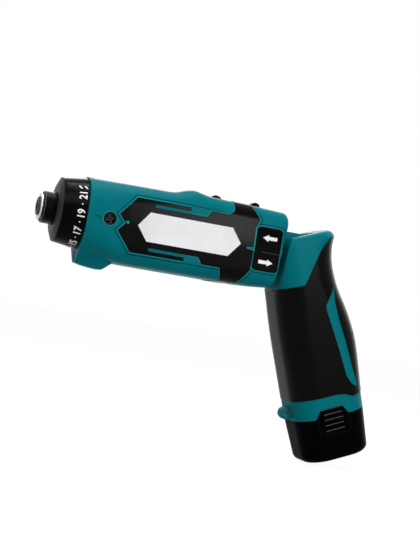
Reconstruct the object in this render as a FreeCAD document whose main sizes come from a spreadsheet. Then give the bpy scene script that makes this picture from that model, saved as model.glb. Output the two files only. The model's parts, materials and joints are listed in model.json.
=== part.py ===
import FreeCAD, Part
import math
import os
import re
import Sketcher
from FreeCAD import Placement, Rotation, Vector

# Folding cordless screwdriver, in millimetres. The origin is the centre of the bit socket's mouth,
# X runs back along the spindle, Y runs to the user's right and Z is up. The handle is drawn upright
# about its hinge and then raked back under the head.

SIZES = {
    "Fits shared by all pieces": {
        "run_clearance": 0.05,
        "seat_clearance": 0.03,
        "part_gap": 0.3,
        "overrun": 8,
    },
    "Bit holder": {
        "bit_flats": 6.35,
        "bit_clearance": 0.1,
        "socket_depth": 22,
        "nose_r": 5.4,
        "journal_r": 5,
        "shoulder_r": 6.5,
        "tip_chamfer": 0.7,
        "clip_setback": 1.2,
        "clip_thickness": 1,
        "clip_r": 7.4,
        "clip_groove": 0.6,
        "sleeve_setback": 2.4,
        "sleeve_r": 9.1,
        "sleeve_chamfer": 0.8,
        "sleeve_length": 15.2,
        "sleeve_bore_r": 8.1,
        "spring_room": 6.2,
        "sleeve_guide": 2.4,
        "ball_land": 2.6,
        "ball_relief": 1.2,
        "ball_r": 1.6,
        "ball_reach": 0.5,
        "sleeve_wire_r": 0.45,
        "sleeve_turns": 4,
    },
    "Torque ring": {
        "sleeve_show": 7.3,
        "ring_length": 15.3,
        "ring_face_r": 14.2,
        "ring_front_r": 18.3,
        "ring_rear_r": 20.3,
        "ring_lead": 1.7,
        "ring_eye_gap": 0.5,
        "ring_front_wall": 4,
        "ring_collar": 2.8,
        "ring_bore_r": 16,
        "ring_rib_count": 4,
        "ring_rib_angle": 28,
        "ring_rib_rise": 0.35,
        "ring_rib_width": 1.2,
        "ring_rib_length": 9,
    },
    "Clutch": {
        "seat_room": 3.5,
        "seat_thickness": 2.5,
        "clutch_wire_r": 0.9,
        "clutch_turns": 2.5,
        "clutch_plate": 1.8,
        "clutch_ball_ring_r": 14.6,
        "clutch_ball_count": 6,
    },
    "Gearbox": {
        "case_nose_r": 12,
        "bush_gap": 0.9,
        "bush_r": 8,
        "bush_length": 14,
        "case_r": 18.4,
        "flange_length": 5,
        "ring_gear_r": 16,
        "gear_module": 0.6,
        "sun_teeth": 12,
        "planet_teeth": 15,
        "tooth_angle": 20,
        "gear_gap": 1,
        "side_gap": 0.5,
        "disc_thickness": 3.5,
        "disc_r": 11.4,
        "planet_pin_r": 1.5,
        "front_gear_width": 7,
        "carrier_thickness": 2.5,
        "rear_gear_width": 6,
        "pilot_r": 1.8,
        "pilot_length": 2.2,
    },
    "Motor": {
        "motor_plate": 2,
        "plate_bore_r": 5,
        "motor_r": 13.9,
        "motor_length": 36,
        "can_wall": 1.2,
        "magnet_thickness": 2.2,
        "magnet_length": 24,
        "magnet_angle": 130,
        "air_gap": 0.4,
        "rotor_length": 20,
        "commutator_r": 5,
        "commutator_length": 6,
        "shaft_r": 1.15,
        "cap_length": 3,
        "motor_boss_r": 4,
        "motor_boss_length": 2,
    },
    "Head housing": {
        "ring_gap": 0.3,
        "head_length": 118,
        "head_half_width": 23,
        "head_half_height": 22.6,
        "head_drop": 2.4,
        "head_corner_r": 9,
        "side_tilt": 1.2,
        "front_corner_r": 15,
        "hump_rise": 3.2,
        "top_rise": 1.4,
        "rear_rise": 0.9,
        "rear_slant": 3.4,
        "rear_edge_r": 4,
        "head_wall": 3.2,
        "front_wall": 5.7,
        "rear_wall": 3.6,
        "rib_thickness": 2,
        "rib_inset": 5,
        "boss_r": 2.7,
        "screw_head_r": 2.2,
        "screw_head_length": 1.8,
        "screw_shank_r": 1.25,
        "screw_length": 26,
        "screw_recess": 1.6,
        "screw_inset": 1.5,
        "mark_length": 3.4,
        "mark_width": 5,
        "mark_rise": 0.6,
    },
    "Rubber panels and label": {
        "rubber_depth": 1.5,
        "rubber_proud": 0.35,
        "panel_setback": 17.4,
        "panel_length": 79.8,
        "panel_half_height": 15.3,
        "label_setback": 10.6,
        "label_length": 61,
        "label_half_height": 8.2,
        "label_thickness": 1.2,
        "label_proud": 0.4,
    },
    "Lamp chin": {
        "chin_length": 21,
        "chin_depth": 4.8,
        "chin_half_width": 6,
        "chin_front_half_width": 3.2,
        "chin_corner_r": 1.8,
        "chin_root": 8,
        "chin_root_half_width": 15.5,
        "lens_half_width": 1.8,
        "lens_rim": 1.1,
        "lens_thickness": 1.6,
        "lamp_room": 7,
        "lamp_board": 1.2,
        "lamp_r": 1.1,
    },
    "Controls on the head": {
        "rocker_from_rear": 4.6,
        "rocker_length": 15,
        "rocker_height": 24.4,
        "rocker_drop": 0.6,
        "rocker_corner_r": 2,
        "rocker_proud": 1,
        "rocker_thickness": 5,
        "rocker_valley": 0.8,
        "rocker_axle_r": 1.1,
        "rocker_axle_reach": 1,
        "rocker_axle_depth": 2.8,
        "rocker_gap": 0.4,
        "switch_thickness": 14,
        "switch_height": 20,
        "plunger_r": 1.6,
        "board_thickness": 1.6,
        "board_length": 33,
        "board_half_width": 12,
        "chip_height": 2.5,
        "lever_from_rear": 40.6,
        "lever_r": 3.6,
        "lever_height": 3.5,
        "lever_dome": 2.4,
        "lever_recess": 0.7,
        "lever_shaft_r": 2.1,
        "lever_collar_r": 3,
        "lever_collar": 2.4,
        "lever_grip": 2.2,
        "lock_from_rear": 16.6,
        "lock_length": 6,
        "lock_width": 5,
        "lock_travel": 1.5,
        "lock_rest": 1.9,
        "lock_dome": 2,
        "lock_flange": 1.2,
        "lock_flange_length": 2,
    },
    "Nose screw": {
        "nose_screw_setback": 12.4,
        "nose_screw_drop": 1.4,
        "nose_screw_r": 3.5,
        "nose_screw_head": 2,
        "nose_screw_sink": 1.5,
        "nose_shank_r": 1.3,
    },
    "Hinge": {
        "hinge_reach": 13.2,
        "hinge_r": 11.2,
        "hinge_clearance": 0.5,
        "tongue_half_width": 9,
        "cheek_gap": 0.3,
        "pin_r": 3,
        "pin_half_length": 17,
        "rake": 21,
    },
    "Handle": {
        "handle_bottom": 97.6,
        "handle_half_width": 20.8,
        "handle_corner_r": 15,
        "grip_front": 22,
        "grip_back": 24.2,
        "neck_front": 19.6,
        "neck_back": 18.4,
        "horn_back": 23.5,
        "horn_top": 9.4,
        "horn_edge": 1.8,
        "foot_front": 22.9,
        "foot_back": 21.6,
        "band_height": 12,
        "cheek_drop": 18.6,
        "cheek_front": 5,
        "horn_drop": 8.2,
        "horn_rise": 2.3,
        "arch_height": 5,
        "lug_r": 3.7,
        "lug_hole_r": 1.8,
        "lug_half_length": 3.7,
        "lug_edge_r": 1.1,
        "lug_reach": 2,
        "lug_rise": 4.8,
        "handle_screw_length": 24,
    },
    "Battery": {
        "battery_gap": 0.05,
        "battery_height": 26.2,
        "battery_draft": 0.9,
        "battery_foot_r": 4,
        "cell_r": 9.05,
        "cell_length": 65,
        "cell_nub_r": 3,
        "cell_nub": 0.8,
        "cell_clearance": 0.1,
        "cell_floor": 4,
        "stem_wall": 0.6,
        "stem_side_wall": 2.2,
        "stem_corner_r": 8,
        "stem_roof": 1.6,
        "stem_clearance": 0.25,
        "blade_height": 4.5,
        "blade_width": 5,
        "blade_thickness": 0.8,
        "blade_pitch": 9,
        "blade_clearance": 0.2,
        "block_height": 9,
        "block_half_length": 15,
        "block_half_width": 8,
        "button_length": 20,
        "button_shift": 3.2,
        "button_slope": 3,
        "button_height": 15.4,
        "button_thickness": 3.4,
        "button_proud": 0.6,
        "button_travel": 2,
        "button_gap": 0.1,
        "button_corner_r": 1.5,
        "button_rib_count": 4,
        "button_rib_pitch": 3.2,
        "button_rib_r": 0.5,
        "button_rib_share": 0.58,
    },
}

doc = FreeCAD.newDocument("folding_screwdriver")
sheet = doc.addObject("Spreadsheet::Sheet", "Sizes")
row = 0
for heading, group in SIZES.items():
    row += 1
    sheet.set(f"A{row}", heading)
    for alias, number in group.items():
        row += 1
        sheet.set(f"A{row}", alias)
        sheet.set(f"B{row}", str(number))
        sheet.setAlias(f"B{row}", alias)
doc.recompute()
ALIASES = {alias for group in SIZES.values() for alias in group}


def cells(expression):
    """An expression with its size names written as cells of the sheet."""
    return re.sub(r"[a-z]\w*", lambda m: "Sizes." + m[0] if m[0] in ALIASES else m[0], str(expression))


def size(expression):
    """The present value of an expression."""
    return float(sheet.evalExpression(cells(expression)))


def bind(thing, **bindings):
    """Tie an object's properties to expressions of the sheet."""
    for name, expression in bindings.items():
        thing.setExpression(name.replace("__", "."), cells(expression))


# Stations along the spindle, each one worked out from the station before it
X_SHOULDER = "(sleeve_setback + spring_room)"
X_LAND = f"({X_SHOULDER} + sleeve_guide)"
X_BALL = f"({X_LAND} + ball_land / 2)"
X_SLEEVE_END = "(sleeve_setback + sleeve_length)"
X_CLIP_END = "(clip_setback + clip_thickness)"
X_RING = "(sleeve_setback + sleeve_show)"
X_RING_WALL = f"({X_RING} + ring_front_wall)"
X_RING_COLLAR = f"({X_RING_WALL} + ring_collar)"
X_RING_END = f"({X_RING} + ring_length)"
X_HEAD = f"({X_RING_END} + ring_gap)"
X_NOSE = f"({X_RING_WALL} + part_gap)"
X_BUSH = f"({X_SLEEVE_END} + bush_gap)"
X_BUSH_END = f"({X_BUSH} + bush_length)"
X_FLANGE = f"({X_HEAD} + front_wall)"
X_GEAR = f"({X_FLANGE} + flange_length)"
X_DISC = f"({X_GEAR} + gear_gap)"
X_FRONT = f"({X_DISC} + disc_thickness + side_gap)"
X_FRONT_END = f"({X_FRONT} + front_gear_width)"
X_CARRIER = f"({X_FRONT_END} + side_gap)"
X_CARRIER_END = f"({X_CARRIER} + carrier_thickness)"
X_REAR = f"({X_CARRIER_END} + side_gap)"
X_REAR_END = f"({X_REAR} + rear_gear_width)"
X_GEAR_END = f"({X_REAR_END} + side_gap)"
X_MOTOR = f"({X_GEAR_END} + motor_plate)"
X_MOTOR_END = f"({X_MOTOR} + motor_length)"
X_CAP_END = f"({X_MOTOR_END} + cap_length)"
X_SEAT = f"({X_RING_COLLAR} + seat_room)"
X_SEAT_END = f"({X_SEAT} + seat_thickness)"
X_PLATE = f"({X_FLANGE} - clutch_plate)"
X_HEAD_END = f"({X_HEAD} + head_length)"
X_INNER_END = f"({X_HEAD_END} - rear_wall - rear_slant)"
X_HINGE = f"({X_HEAD_END} + hinge_reach)"

# Levels of the head, and sizes that several pieces share
FRONT_R = "(ring_rear_r + part_gap)"
Z_TOP = "(head_half_height - head_drop)"
Z_BOTTOM = "(-head_half_height - head_drop)"
SOCKET_FLATS = "(bit_flats + bit_clearance)"
BALL_OUT = f"({SOCKET_FLATS} / 2 - ball_reach + ball_r)"
LAND_R = f"({BALL_OUT} + ball_r + run_clearance)"
RING_EYE_R = "(sleeve_r + ring_eye_gap)"
GEAR_CENTRES = "(gear_module * (sun_teeth + planet_teeth) / 2)"
TONGUE_R = "(hinge_r - hinge_clearance)"
SLOT_HALF = "(tongue_half_width + cheek_gap)"
STEM_HALF_LENGTH = "(2 * (cell_r + cell_clearance) + stem_wall * 1.5)"
STEM_HALF_WIDTH = "(cell_r + cell_clearance + stem_side_wall)"
Z_CELL = "(-handle_bottom - battery_gap - battery_height + cell_floor)"
Z_CELL_TOP = f"({Z_CELL} + cell_length + cell_nub)"
Z_STEM_TOP = f"({Z_CELL_TOP} + part_gap + stem_roof)"

PLANETS = 3
pieces = []


def keep(thing, node):
    """Give a finished piece the name of its node."""
    thing.Label = node
    pieces.append(thing)
    return thing


# Sketch and feature helpers

def new_body(name):
    return doc.addObject("PartDesign::Body", name)


def on_plane(body, role, at="0"):
    """An empty sketch on one of a body's origin planes, moved along the plane's normal."""
    sketch = body.newObject("Sketcher::SketchObject", body.Name + "_sketch")
    origin_plane = next(item for item in body.Origin.OriginFeatures if item.Role == role)
    sketch.AttachmentSupport = (origin_plane, "")
    sketch.MapMode = "FlatFace"
    bind(sketch, AttachmentOffset__Base__z=at)
    return sketch


def hold(sketch, kind, target, expression):
    """Add one dimension to a sketch and tie it to the sheet."""
    index = sketch.addConstraint(Sketcher.Constraint(kind, *target, size(expression)))
    sketch.setExpression(f"Constraints[{index}]", cells(expression))


def outline(body, role, corners, at="0"):
    """A closed sketch. Each corner is (across, up) or (across, up, radius)."""
    sketch = on_plane(body, role, at)
    spots = [Vector(size(corner[0]), size(corner[1]), 0) for corner in corners]
    count = len(corners)
    ends = []
    for i, corner in enumerate(corners):
        to_last = (spots[i - 1] - spots[i]).normalize()
        to_next = (spots[(i + 1) % count] - spots[i]).normalize()
        if len(corner) < 3:
            ends.append((spots[i], spots[i], None))
            continue
        half = to_last.getAngle(to_next) / 2
        radius = size(corner[2])
        inward = (to_last + to_next).normalize()
        middle = spots[i] + inward * (radius / math.sin(half) - radius)
        along = radius / math.tan(half)
        ends.append((spots[i] + to_last * along, spots[i] + to_next * along, middle))
    lines = [sketch.addGeometry(Part.LineSegment(ends[i][1], ends[(i + 1) % count][0])) for i in range(count)]
    for i, corner in enumerate(corners):
        before, after = lines[i - 1], lines[i]
        if ends[i][2] is None:
            sketch.addConstraint(Sketcher.Constraint("Coincident", before, 2, after, 1))
            spot = (after, 1)
        else:
            arc = sketch.addGeometry(Part.Arc(ends[i][0], ends[i][2], ends[i][1]))
            turn = (ends[i][2] - ends[i][0]).cross(ends[i][1] - ends[i][2]).z
            first, last = (1, 2) if turn > 0 else (2, 1)
            point = sketch.addGeometry(Part.Point(spots[i]), True)
            sketch.addConstraint(Sketcher.Constraint("Tangent", before, 2, arc, first))
            sketch.addConstraint(Sketcher.Constraint("Tangent", arc, last, after, 1))
            sketch.addConstraint(Sketcher.Constraint("PointOnObject", point, 1, before))
            sketch.addConstraint(Sketcher.Constraint("PointOnObject", point, 1, after))
            hold(sketch, "Radius", (arc,), corner[2])
            spot = (point, 1)
        hold(sketch, "DistanceX", (-1, 1) + spot, corner[0])
        hold(sketch, "DistanceY", (-1, 1) + spot, corner[1])
    return sketch


def rounded(left, right, low, high, radius):
    """The corners of a rounded rectangle."""
    return [(left, low, radius), (right, low, radius), (right, high, radius), (left, high, radius)]


def pad(body, sketch, length, side="One side", back=False):
    """Thicken a sketch; back turns the direction round."""
    feature = body.newObject("PartDesign::Pad", body.Name + "_pad")
    feature.Profile = sketch
    feature.SideType = side
    feature.Reversed = back
    bind(feature, Length=length)
    return feature


def slab(name, role, corners, length, side="One side", back=False, at="0"):
    """A body that is one thickened outline."""
    body = new_body(name)
    pad(body, outline(body, role, corners, at), length, side, back)
    return body


def turned(name, corners):
    """A body turned about the spindle's line from (along, radius) corners."""
    body = new_body(name)
    sketch = outline(body, "XZ_Plane", corners)
    feature = body.newObject("PartDesign::Revolution", name + "_turn")
    feature.Profile = sketch
    feature.ReferenceAxis = (sketch, ["H_Axis"])
    return body


def lofted(name, role, sections):
    """A body with straight runs between (station, corners) sections."""
    body = new_body(name)
    sketches = [outline(body, role, corners, at) for at, corners in sections]
    feature = body.newObject("PartDesign::AdditiveLoft", name + "_loft")
    feature.Profile = sketches[0]
    feature.Sections = sketches[1:]
    feature.Ruled = True
    return body


TURNS = {
    "X": Rotation(Vector(0, 1, 0), 90),
    "Y": Rotation(Vector(1, 0, 0), -90),
    "Z": Rotation(),
}


def rod(name, along, start, radius, length):
    """A round bar: start is its first end's (x, y, z), along is the axis it runs up."""
    bar = doc.addObject("Part::Cylinder", name)
    bar.Placement.Rotation = TURNS[along]
    bind(bar, Radius=radius, Height=length)
    bind(bar, Placement__Base__x=start[0], Placement__Base__y=start[1], Placement__Base__z=start[2])
    return bar


def block(name, low, lengths):
    """A box from its lowest corner and its three lengths."""
    box = doc.addObject("Part::Box", name)
    bind(box, Length=lengths[0], Width=lengths[1], Height=lengths[2])
    bind(box, Placement__Base__x=low[0], Placement__Base__y=low[1], Placement__Base__z=low[2])
    return box


def ball(name, centre, radius):
    sphere = doc.addObject("Part::Sphere", name)
    bind(sphere, Radius=radius)
    bind(sphere, Placement__Base__x=centre[0], Placement__Base__y=centre[1], Placement__Base__z=centre[2])
    return sphere


def joined(name, *things):
    fused = doc.addObject("Part::MultiFuse", name)
    fused.Shapes = list(things)
    fused.Refine = False
    return fused


def shared(name, *things):
    overlap = doc.addObject("Part::MultiCommon", name)
    overlap.Shapes = list(things)
    overlap.Refine = False
    return overlap


def cut(name, base, *tools):
    result = doc.addObject("Part::Cut", name)
    result.Base = base
    result.Tool = tools[0] if len(tools) == 1 else joined(name + "_tools", *tools)
    result.Refine = False
    return result


def grouped(name, *things):
    """Separate solids of one node."""
    group = doc.addObject("Part::Compound", name)
    group.Links = list(things)
    return group


COIL_STEPS = 10
WIRE_SIDES = 6


def coil(name, start, length, radius, wire, turns):
    """A wire spring along the spindle's line: straight runs of wire between steps of each turn."""
    steps = round(COIL_STEPS * size(turns))
    first, mean_r, wire_r = size(f"{start} + {wire}"), size(radius), size(wire)
    rise = size(f"{length} - 2 * {wire}") / steps
    sections = []
    for step in range(steps + 1):
        turn = 2 * math.pi * step / COIL_STEPS
        ring = []
        for side in range(WIRE_SIDES):
            around = 2 * math.pi * side / WIRE_SIDES
            out = mean_r + wire_r * math.cos(around)
            along = first + rise * step + wire_r * math.sin(around)
            ring.append(Vector(along, out * math.cos(turn), out * math.sin(turn)))
        sections.append(Part.makePolygon(ring + ring[:1]))
    return shaped(name, Part.makeLoft(sections, True, True))


def shaped(name, shape):
    """A piece that only a formula describes."""
    feature = doc.addObject("Part::Feature", name)
    feature.Shape = shape
    return feature


# Gear teeth: involute flanks, thinned a little so that the meshing teeth run free

TOOTH_SHARE = 0.46
TIP_SHARE = 0.9
ROOT_SHARE = 1.25


def involute(angle):
    return math.tan(angle) - angle


def tooth_half_angle(teeth, radius, share):
    """Half the angle that a tooth fills at a radius."""
    pitch_r = size("gear_module") * teeth / 2
    pressure = math.radians(size("tooth_angle"))
    base_r = pitch_r * math.cos(pressure)
    at_radius = math.acos(min(1, base_r / radius))
    return math.pi * share / teeth + involute(pressure) - involute(at_radius)


def toothed_face(teeth, root_r, tip_r, share, phase):
    """A flat gear outline in the YZ plane; phase turns its first tooth from +Y."""
    pitch_r = size("gear_module") * teeth / 2
    corners = []
    for tooth in range(teeth):
        middle = phase + 2 * math.pi * tooth / teeth
        flank = [(r, tooth_half_angle(teeth, r, share)) for r in (root_r, pitch_r, tip_r)]
        sides = [(r, middle - half) for r, half in flank]
        sides += [(r, middle + half) for r, half in reversed(flank)]
        corners += [Vector(0, r * math.cos(a), r * math.sin(a)) for r, a in sides]
    return Part.Face(Part.makePolygon(corners + corners[:1]))


def toothed_bar(teeth, start, length, phase):
    """An outer gear along the spindle's line."""
    pitch_r = size("gear_module") * teeth / 2
    root_r = pitch_r - ROOT_SHARE * size("gear_module")
    tip_r = pitch_r + TIP_SHARE * size("gear_module")
    face = toothed_face(teeth, root_r, tip_r, TOOTH_SHARE, phase)
    face.translate(Vector(size(start), 0, 0))
    return face.extrude(Vector(size(length), 0, 0))


# Quick-release bit holder

spindle_turned = turned("spindle_turned", [
    ("0", "0"),
    ("0", "nose_r - tip_chamfer"),
    ("tip_chamfer", "nose_r"),
    ("clip_setback", "nose_r"),
    ("clip_setback", "nose_r - clip_groove"),
    (X_CLIP_END, "nose_r - clip_groove"),
    (X_CLIP_END, "nose_r"),
    (f"{X_BUSH} - part_gap", "nose_r"),
    (f"{X_BUSH} - part_gap", "journal_r"),
    (f"{X_BUSH_END} + part_gap", "journal_r"),
    (f"{X_BUSH_END} + part_gap", "shoulder_r"),
    (X_DISC, "shoulder_r"),
    (X_DISC, "disc_r"),
    (f"{X_DISC} + disc_thickness", "disc_r"),
    (f"{X_DISC} + disc_thickness", "0"),
])
HEX_HALF = f"({SOCKET_FLATS} / 2)"
HEX_SIDE = f"({SOCKET_FLATS} / 2 * tan(30))"
HEX_TIP = f"({SOCKET_FLATS} / 2 / cos(30))"
hex_socket = slab("hex_socket", "YZ_Plane", [
    (f"-{HEX_SIDE}", f"-{HEX_HALF}"),
    (HEX_SIDE, f"-{HEX_HALF}"),
    (HEX_TIP, "0"),
    (HEX_SIDE, HEX_HALF),
    (f"-{HEX_SIDE}", HEX_HALF),
    (f"-{HEX_TIP}", "0"),
], "socket_depth")
ball_hole = rod("ball_hole", "Z", (X_BALL, "0", "0"), "ball_r + run_clearance", "nose_r + overrun")


def planet_angle(index):
    return f"90 + {index} * 360 / {PLANETS}"


def planet_spot(index):
    """The (y, z) of a planet's axis."""
    return (f"{GEAR_CENTRES} * cos({planet_angle(index)})", f"{GEAR_CENTRES} * sin({planet_angle(index)})")


def planet_pins(name, start, length):
    return [rod(f"{name}_{i}", "X", (start,) + planet_spot(i), "planet_pin_r", length)
            for i in range(PLANETS)]


front_pins = planet_pins("front_pin", f"{X_DISC} + disc_thickness / 2",
                         "disc_thickness / 2 + side_gap + front_gear_width")
pilot_bore = rod("pilot_bore", "X", (f"{X_FRONT} - side_gap - pilot_length", "0", "0"),
                 "pilot_r + run_clearance",
                 "pilot_length")
keep(cut("spindle_part", joined("spindle_blank", spindle_turned, *front_pins), hex_socket, ball_hole,
         pilot_bore),
     "spindle")

keep(turned("clip_part", [
    ("clip_setback", "nose_r - clip_groove"),
    ("clip_setback", "clip_r"),
    (X_CLIP_END, "clip_r"),
    (X_CLIP_END, "nose_r - clip_groove"),
]), "sleeve_clip")
keep(ball("lock_ball", (X_BALL, "0", BALL_OUT), "ball_r"), "bit_lock_ball")
keep(turned("sleeve_part", [
    ("sleeve_setback", "sleeve_bore_r"),
    ("sleeve_setback", "sleeve_r - sleeve_chamfer"),
    ("sleeve_setback + sleeve_chamfer", "sleeve_r"),
    (X_SLEEVE_END, "sleeve_r"),
    (X_SLEEVE_END, f"{LAND_R} + ball_relief"),
    (f"{X_LAND} + ball_land", f"{LAND_R} + ball_relief"),
    (f"{X_LAND} + ball_land", LAND_R),
    (X_LAND, LAND_R),
    (X_LAND, "nose_r + run_clearance"),
    (X_SHOULDER, "nose_r + run_clearance"),
    (X_SHOULDER, "sleeve_bore_r"),
]), "bit_sleeve")
keep(coil("sleeve_coil", X_CLIP_END, f"({X_SHOULDER} - {X_CLIP_END})", "((nose_r + sleeve_bore_r) / 2)",
          "sleeve_wire_r", "sleeve_turns"), "sleeve_spring")

# Torque ring and clutch

ring_turned = turned("ring_turned", [
    (X_RING, RING_EYE_R),
    (X_RING, "ring_face_r"),
    (f"{X_RING} + ring_lead", "ring_front_r", "ring_lead / 4"),
    (X_RING_END, "ring_rear_r"),
    (X_RING_END, "ring_bore_r"),
    (X_RING_COLLAR, "ring_bore_r"),
    (X_RING_COLLAR, "case_nose_r + run_clearance"),
    (X_RING_WALL, "case_nose_r + run_clearance"),
    (X_RING_WALL, RING_EYE_R),
])
RIB_START = f"({X_RING} + ring_lead + ring_rib_width)"
RING_SLOPE = "((ring_rear_r - ring_front_r) / (ring_length - ring_lead))"
RIB_START_R = f"(ring_front_r + {RING_SLOPE} * ring_rib_width)"
RIB_END_R = f"({RIB_START_R} + {RING_SLOPE} * ring_rib_length)"
rib_sketch = outline(ring_turned, "XZ_Plane", [
    (RIB_START, f"{RIB_START_R} - ring_rib_width"),
    (RIB_START, RIB_START_R),
    (f"{RIB_START} + ring_rib_width", f"{RIB_START_R} + ring_rib_rise"),
    (f"{RIB_START} + ring_rib_length", f"{RIB_END_R} + ring_rib_rise"),
    (f"{RIB_START} + ring_rib_length", f"{RIB_END_R} - ring_rib_width"),
])
rib_sketch.AttachmentOffset = Placement(Vector(), Rotation(Vector(1, 0, 0), size("90 - ring_rib_angle")))
bind(rib_sketch, AttachmentOffset__Rotation__Angle="90 - ring_rib_angle")
ring_rib = pad(ring_turned, rib_sketch, "ring_rib_width", "Symmetric")
ring_ribs = ring_turned.newObject("PartDesign::PolarPattern", "ring_ribs")
ring_ribs.Originals = [ring_rib]
ring_ribs.Axis = (next(item for item in ring_turned.Origin.OriginFeatures if item.Role == "X_Axis"), [""])
ring_ribs.Angle = 360
bind(ring_ribs, Occurrences="ring_rib_count")
ring_turned.Tip = ring_ribs
keep(ring_turned, "torque_ring")
keep(turned("seat_part", [
    (X_SEAT, "case_nose_r + run_clearance"),
    (X_SEAT, "ring_bore_r - run_clearance"),
    (X_SEAT_END, "ring_bore_r - run_clearance"),
    (X_SEAT_END, "case_nose_r + run_clearance"),
]), "clutch_seat")
keep(coil("clutch_coil", X_SEAT_END, f"({X_PLATE} - {X_SEAT_END})", "((case_nose_r + ring_bore_r) / 2)",
          "clutch_wire_r", "clutch_turns"), "clutch_spring")
keep(turned("plate_part", [
    (X_PLATE, "case_nose_r + run_clearance"),
    (X_PLATE, "ring_bore_r"),
    (X_FLANGE, "ring_bore_r"),
    (X_FLANGE, "case_nose_r + run_clearance"),
]), "clutch_plate")


def round_the_axis(count, radius, index):
    angle = f"{index} * 360 / {count}"
    return (f"{radius} * cos({angle})", f"{radius} * sin({angle})")


ball_count = int(size("clutch_ball_count"))
ball_spots = [round_the_axis("clutch_ball_count", "clutch_ball_ring_r", i) for i in range(ball_count)]
X_BALLS = f"({X_FLANGE} + flange_length / 2)"
keep(grouped("ball_set", *[ball(f"clutch_ball_{i}", (X_BALLS,) + spot, "flange_length / 2")
                           for i, spot in enumerate(ball_spots)]), "clutch_balls")

# Planetary gearbox

case_turned = turned("case_turned", [
    (X_NOSE, "sleeve_r + ring_eye_gap"),
    (X_NOSE, "case_nose_r"),
    (X_FLANGE, "case_nose_r"),
    (X_FLANGE, "case_r"),
    (X_GEAR_END, "case_r"),
    (X_GEAR_END, "ring_gear_r + seat_clearance"),
    (X_GEAR, "ring_gear_r + seat_clearance"),
    (X_GEAR, "bush_r + seat_clearance"),
    (X_BUSH, "bush_r + seat_clearance"),
    (X_BUSH, "sleeve_r + ring_eye_gap"),
])
ball_cages = [rod(f"ball_cage_{i}", "X", (X_FLANGE,) + spot, "flange_length / 2 + run_clearance",
                  "flange_length")
              for i, spot in enumerate(ball_spots)]
Z_MIDDLE = "(-head_drop)"
X_NOSE_SCREW = f"({X_HEAD} + nose_screw_setback)"
Z_NOSE_SCREW = "(-nose_screw_drop)"
screw_thread = rod("screw_thread", "Y", (X_NOSE_SCREW, "-head_half_width", Z_NOSE_SCREW), "nose_shank_r",
                   "head_half_width - ring_gear_r - seat_clearance - part_gap")
keep(cut("case_part", case_turned, *ball_cages, screw_thread), "gear_case")
keep(turned("bush_part", [
    (X_BUSH, "journal_r + run_clearance"),
    (X_BUSH, "bush_r"),
    (X_BUSH_END, "bush_r"),
    (X_BUSH_END, "journal_r + run_clearance"),
]), "spindle_bush")

sun_teeth = int(size("sun_teeth"))
planet_teeth = int(size("planet_teeth"))
ring_teeth = sun_teeth + 2 * planet_teeth
module = size("gear_module")

# The ring gear's tooth spaces are an outer gear of the same count, cut through a plain tube. A space faces
# the first planet, so that planet has a tooth at +Z and every other planet follows from its place in the ring.
ring_pitch_r = module * ring_teeth / 2
ring_space = toothed_face(ring_teeth, ring_pitch_r - TIP_SHARE * module, ring_pitch_r + ROOT_SHARE * module,
                          1 - TOOTH_SHARE, math.pi / 2)
ring_face = Part.Face(Part.Wire(Part.makeCircle(size("ring_gear_r"), Vector(0, 0, 0), Vector(1, 0, 0))))
ring_face = ring_face.cut(ring_space)
ring_face.translate(Vector(size(X_GEAR), 0, 0))
keep(shaped("ring_gear_part", ring_face.extrude(Vector(size(f"{X_GEAR_END} - {X_GEAR}"), 0, 0))), "ring_gear")


def planet(index, start, width):
    """One planet gear on its pin: its phase keeps a tooth in the ring gear's space outside it."""
    place = math.radians(size(planet_angle(index)))
    turn = (place - math.pi / 2) * ring_teeth / planet_teeth
    gear = toothed_bar(planet_teeth, start, width, place - turn)
    y, z = planet_spot(index)
    hole = Part.makeCylinder(size("planet_pin_r + run_clearance"), size(width), Vector(size(start), 0, 0),
                             Vector(1, 0, 0))
    gear = gear.cut(hole)
    gear.translate(Vector(0, size(y), size(z)))
    return gear


# Seen from the sun, the first planet has a tooth or a space at its foot; the sun takes the other.
foot_turns = planet_teeth / 2 % 1
sun_phase = math.pi / 2 + (0 if foot_turns else math.pi / sun_teeth)
for index, letter in enumerate("abc"):
    keep(shaped(f"front_planet_{letter}", planet(index, X_FRONT, "front_gear_width")),
         f"planet_front_{letter}")
    keep(shaped(f"rear_planet_{letter}", planet(index, X_REAR, "rear_gear_width")), f"planet_rear_{letter}")

carrier_disc = rod("carrier_disc", "X", (X_CARRIER, "0", "0"), "disc_r", "carrier_thickness")
front_sun = shaped("front_sun", toothed_bar(sun_teeth, X_FRONT, f"{X_CARRIER_END} - {X_FRONT}", sun_phase))
rear_pins = planet_pins("rear_pin", f"{X_CARRIER} + carrier_thickness / 2",
                        "carrier_thickness / 2 + side_gap + rear_gear_width")
pilot = rod("pilot", "X", (f"{X_FRONT} - pilot_length", "0", "0"), "pilot_r",
            "pilot_length + front_gear_width")
keep(joined("carrier_part", carrier_disc, front_sun, pilot, *rear_pins), "carrier_rear")

# Motor

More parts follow.
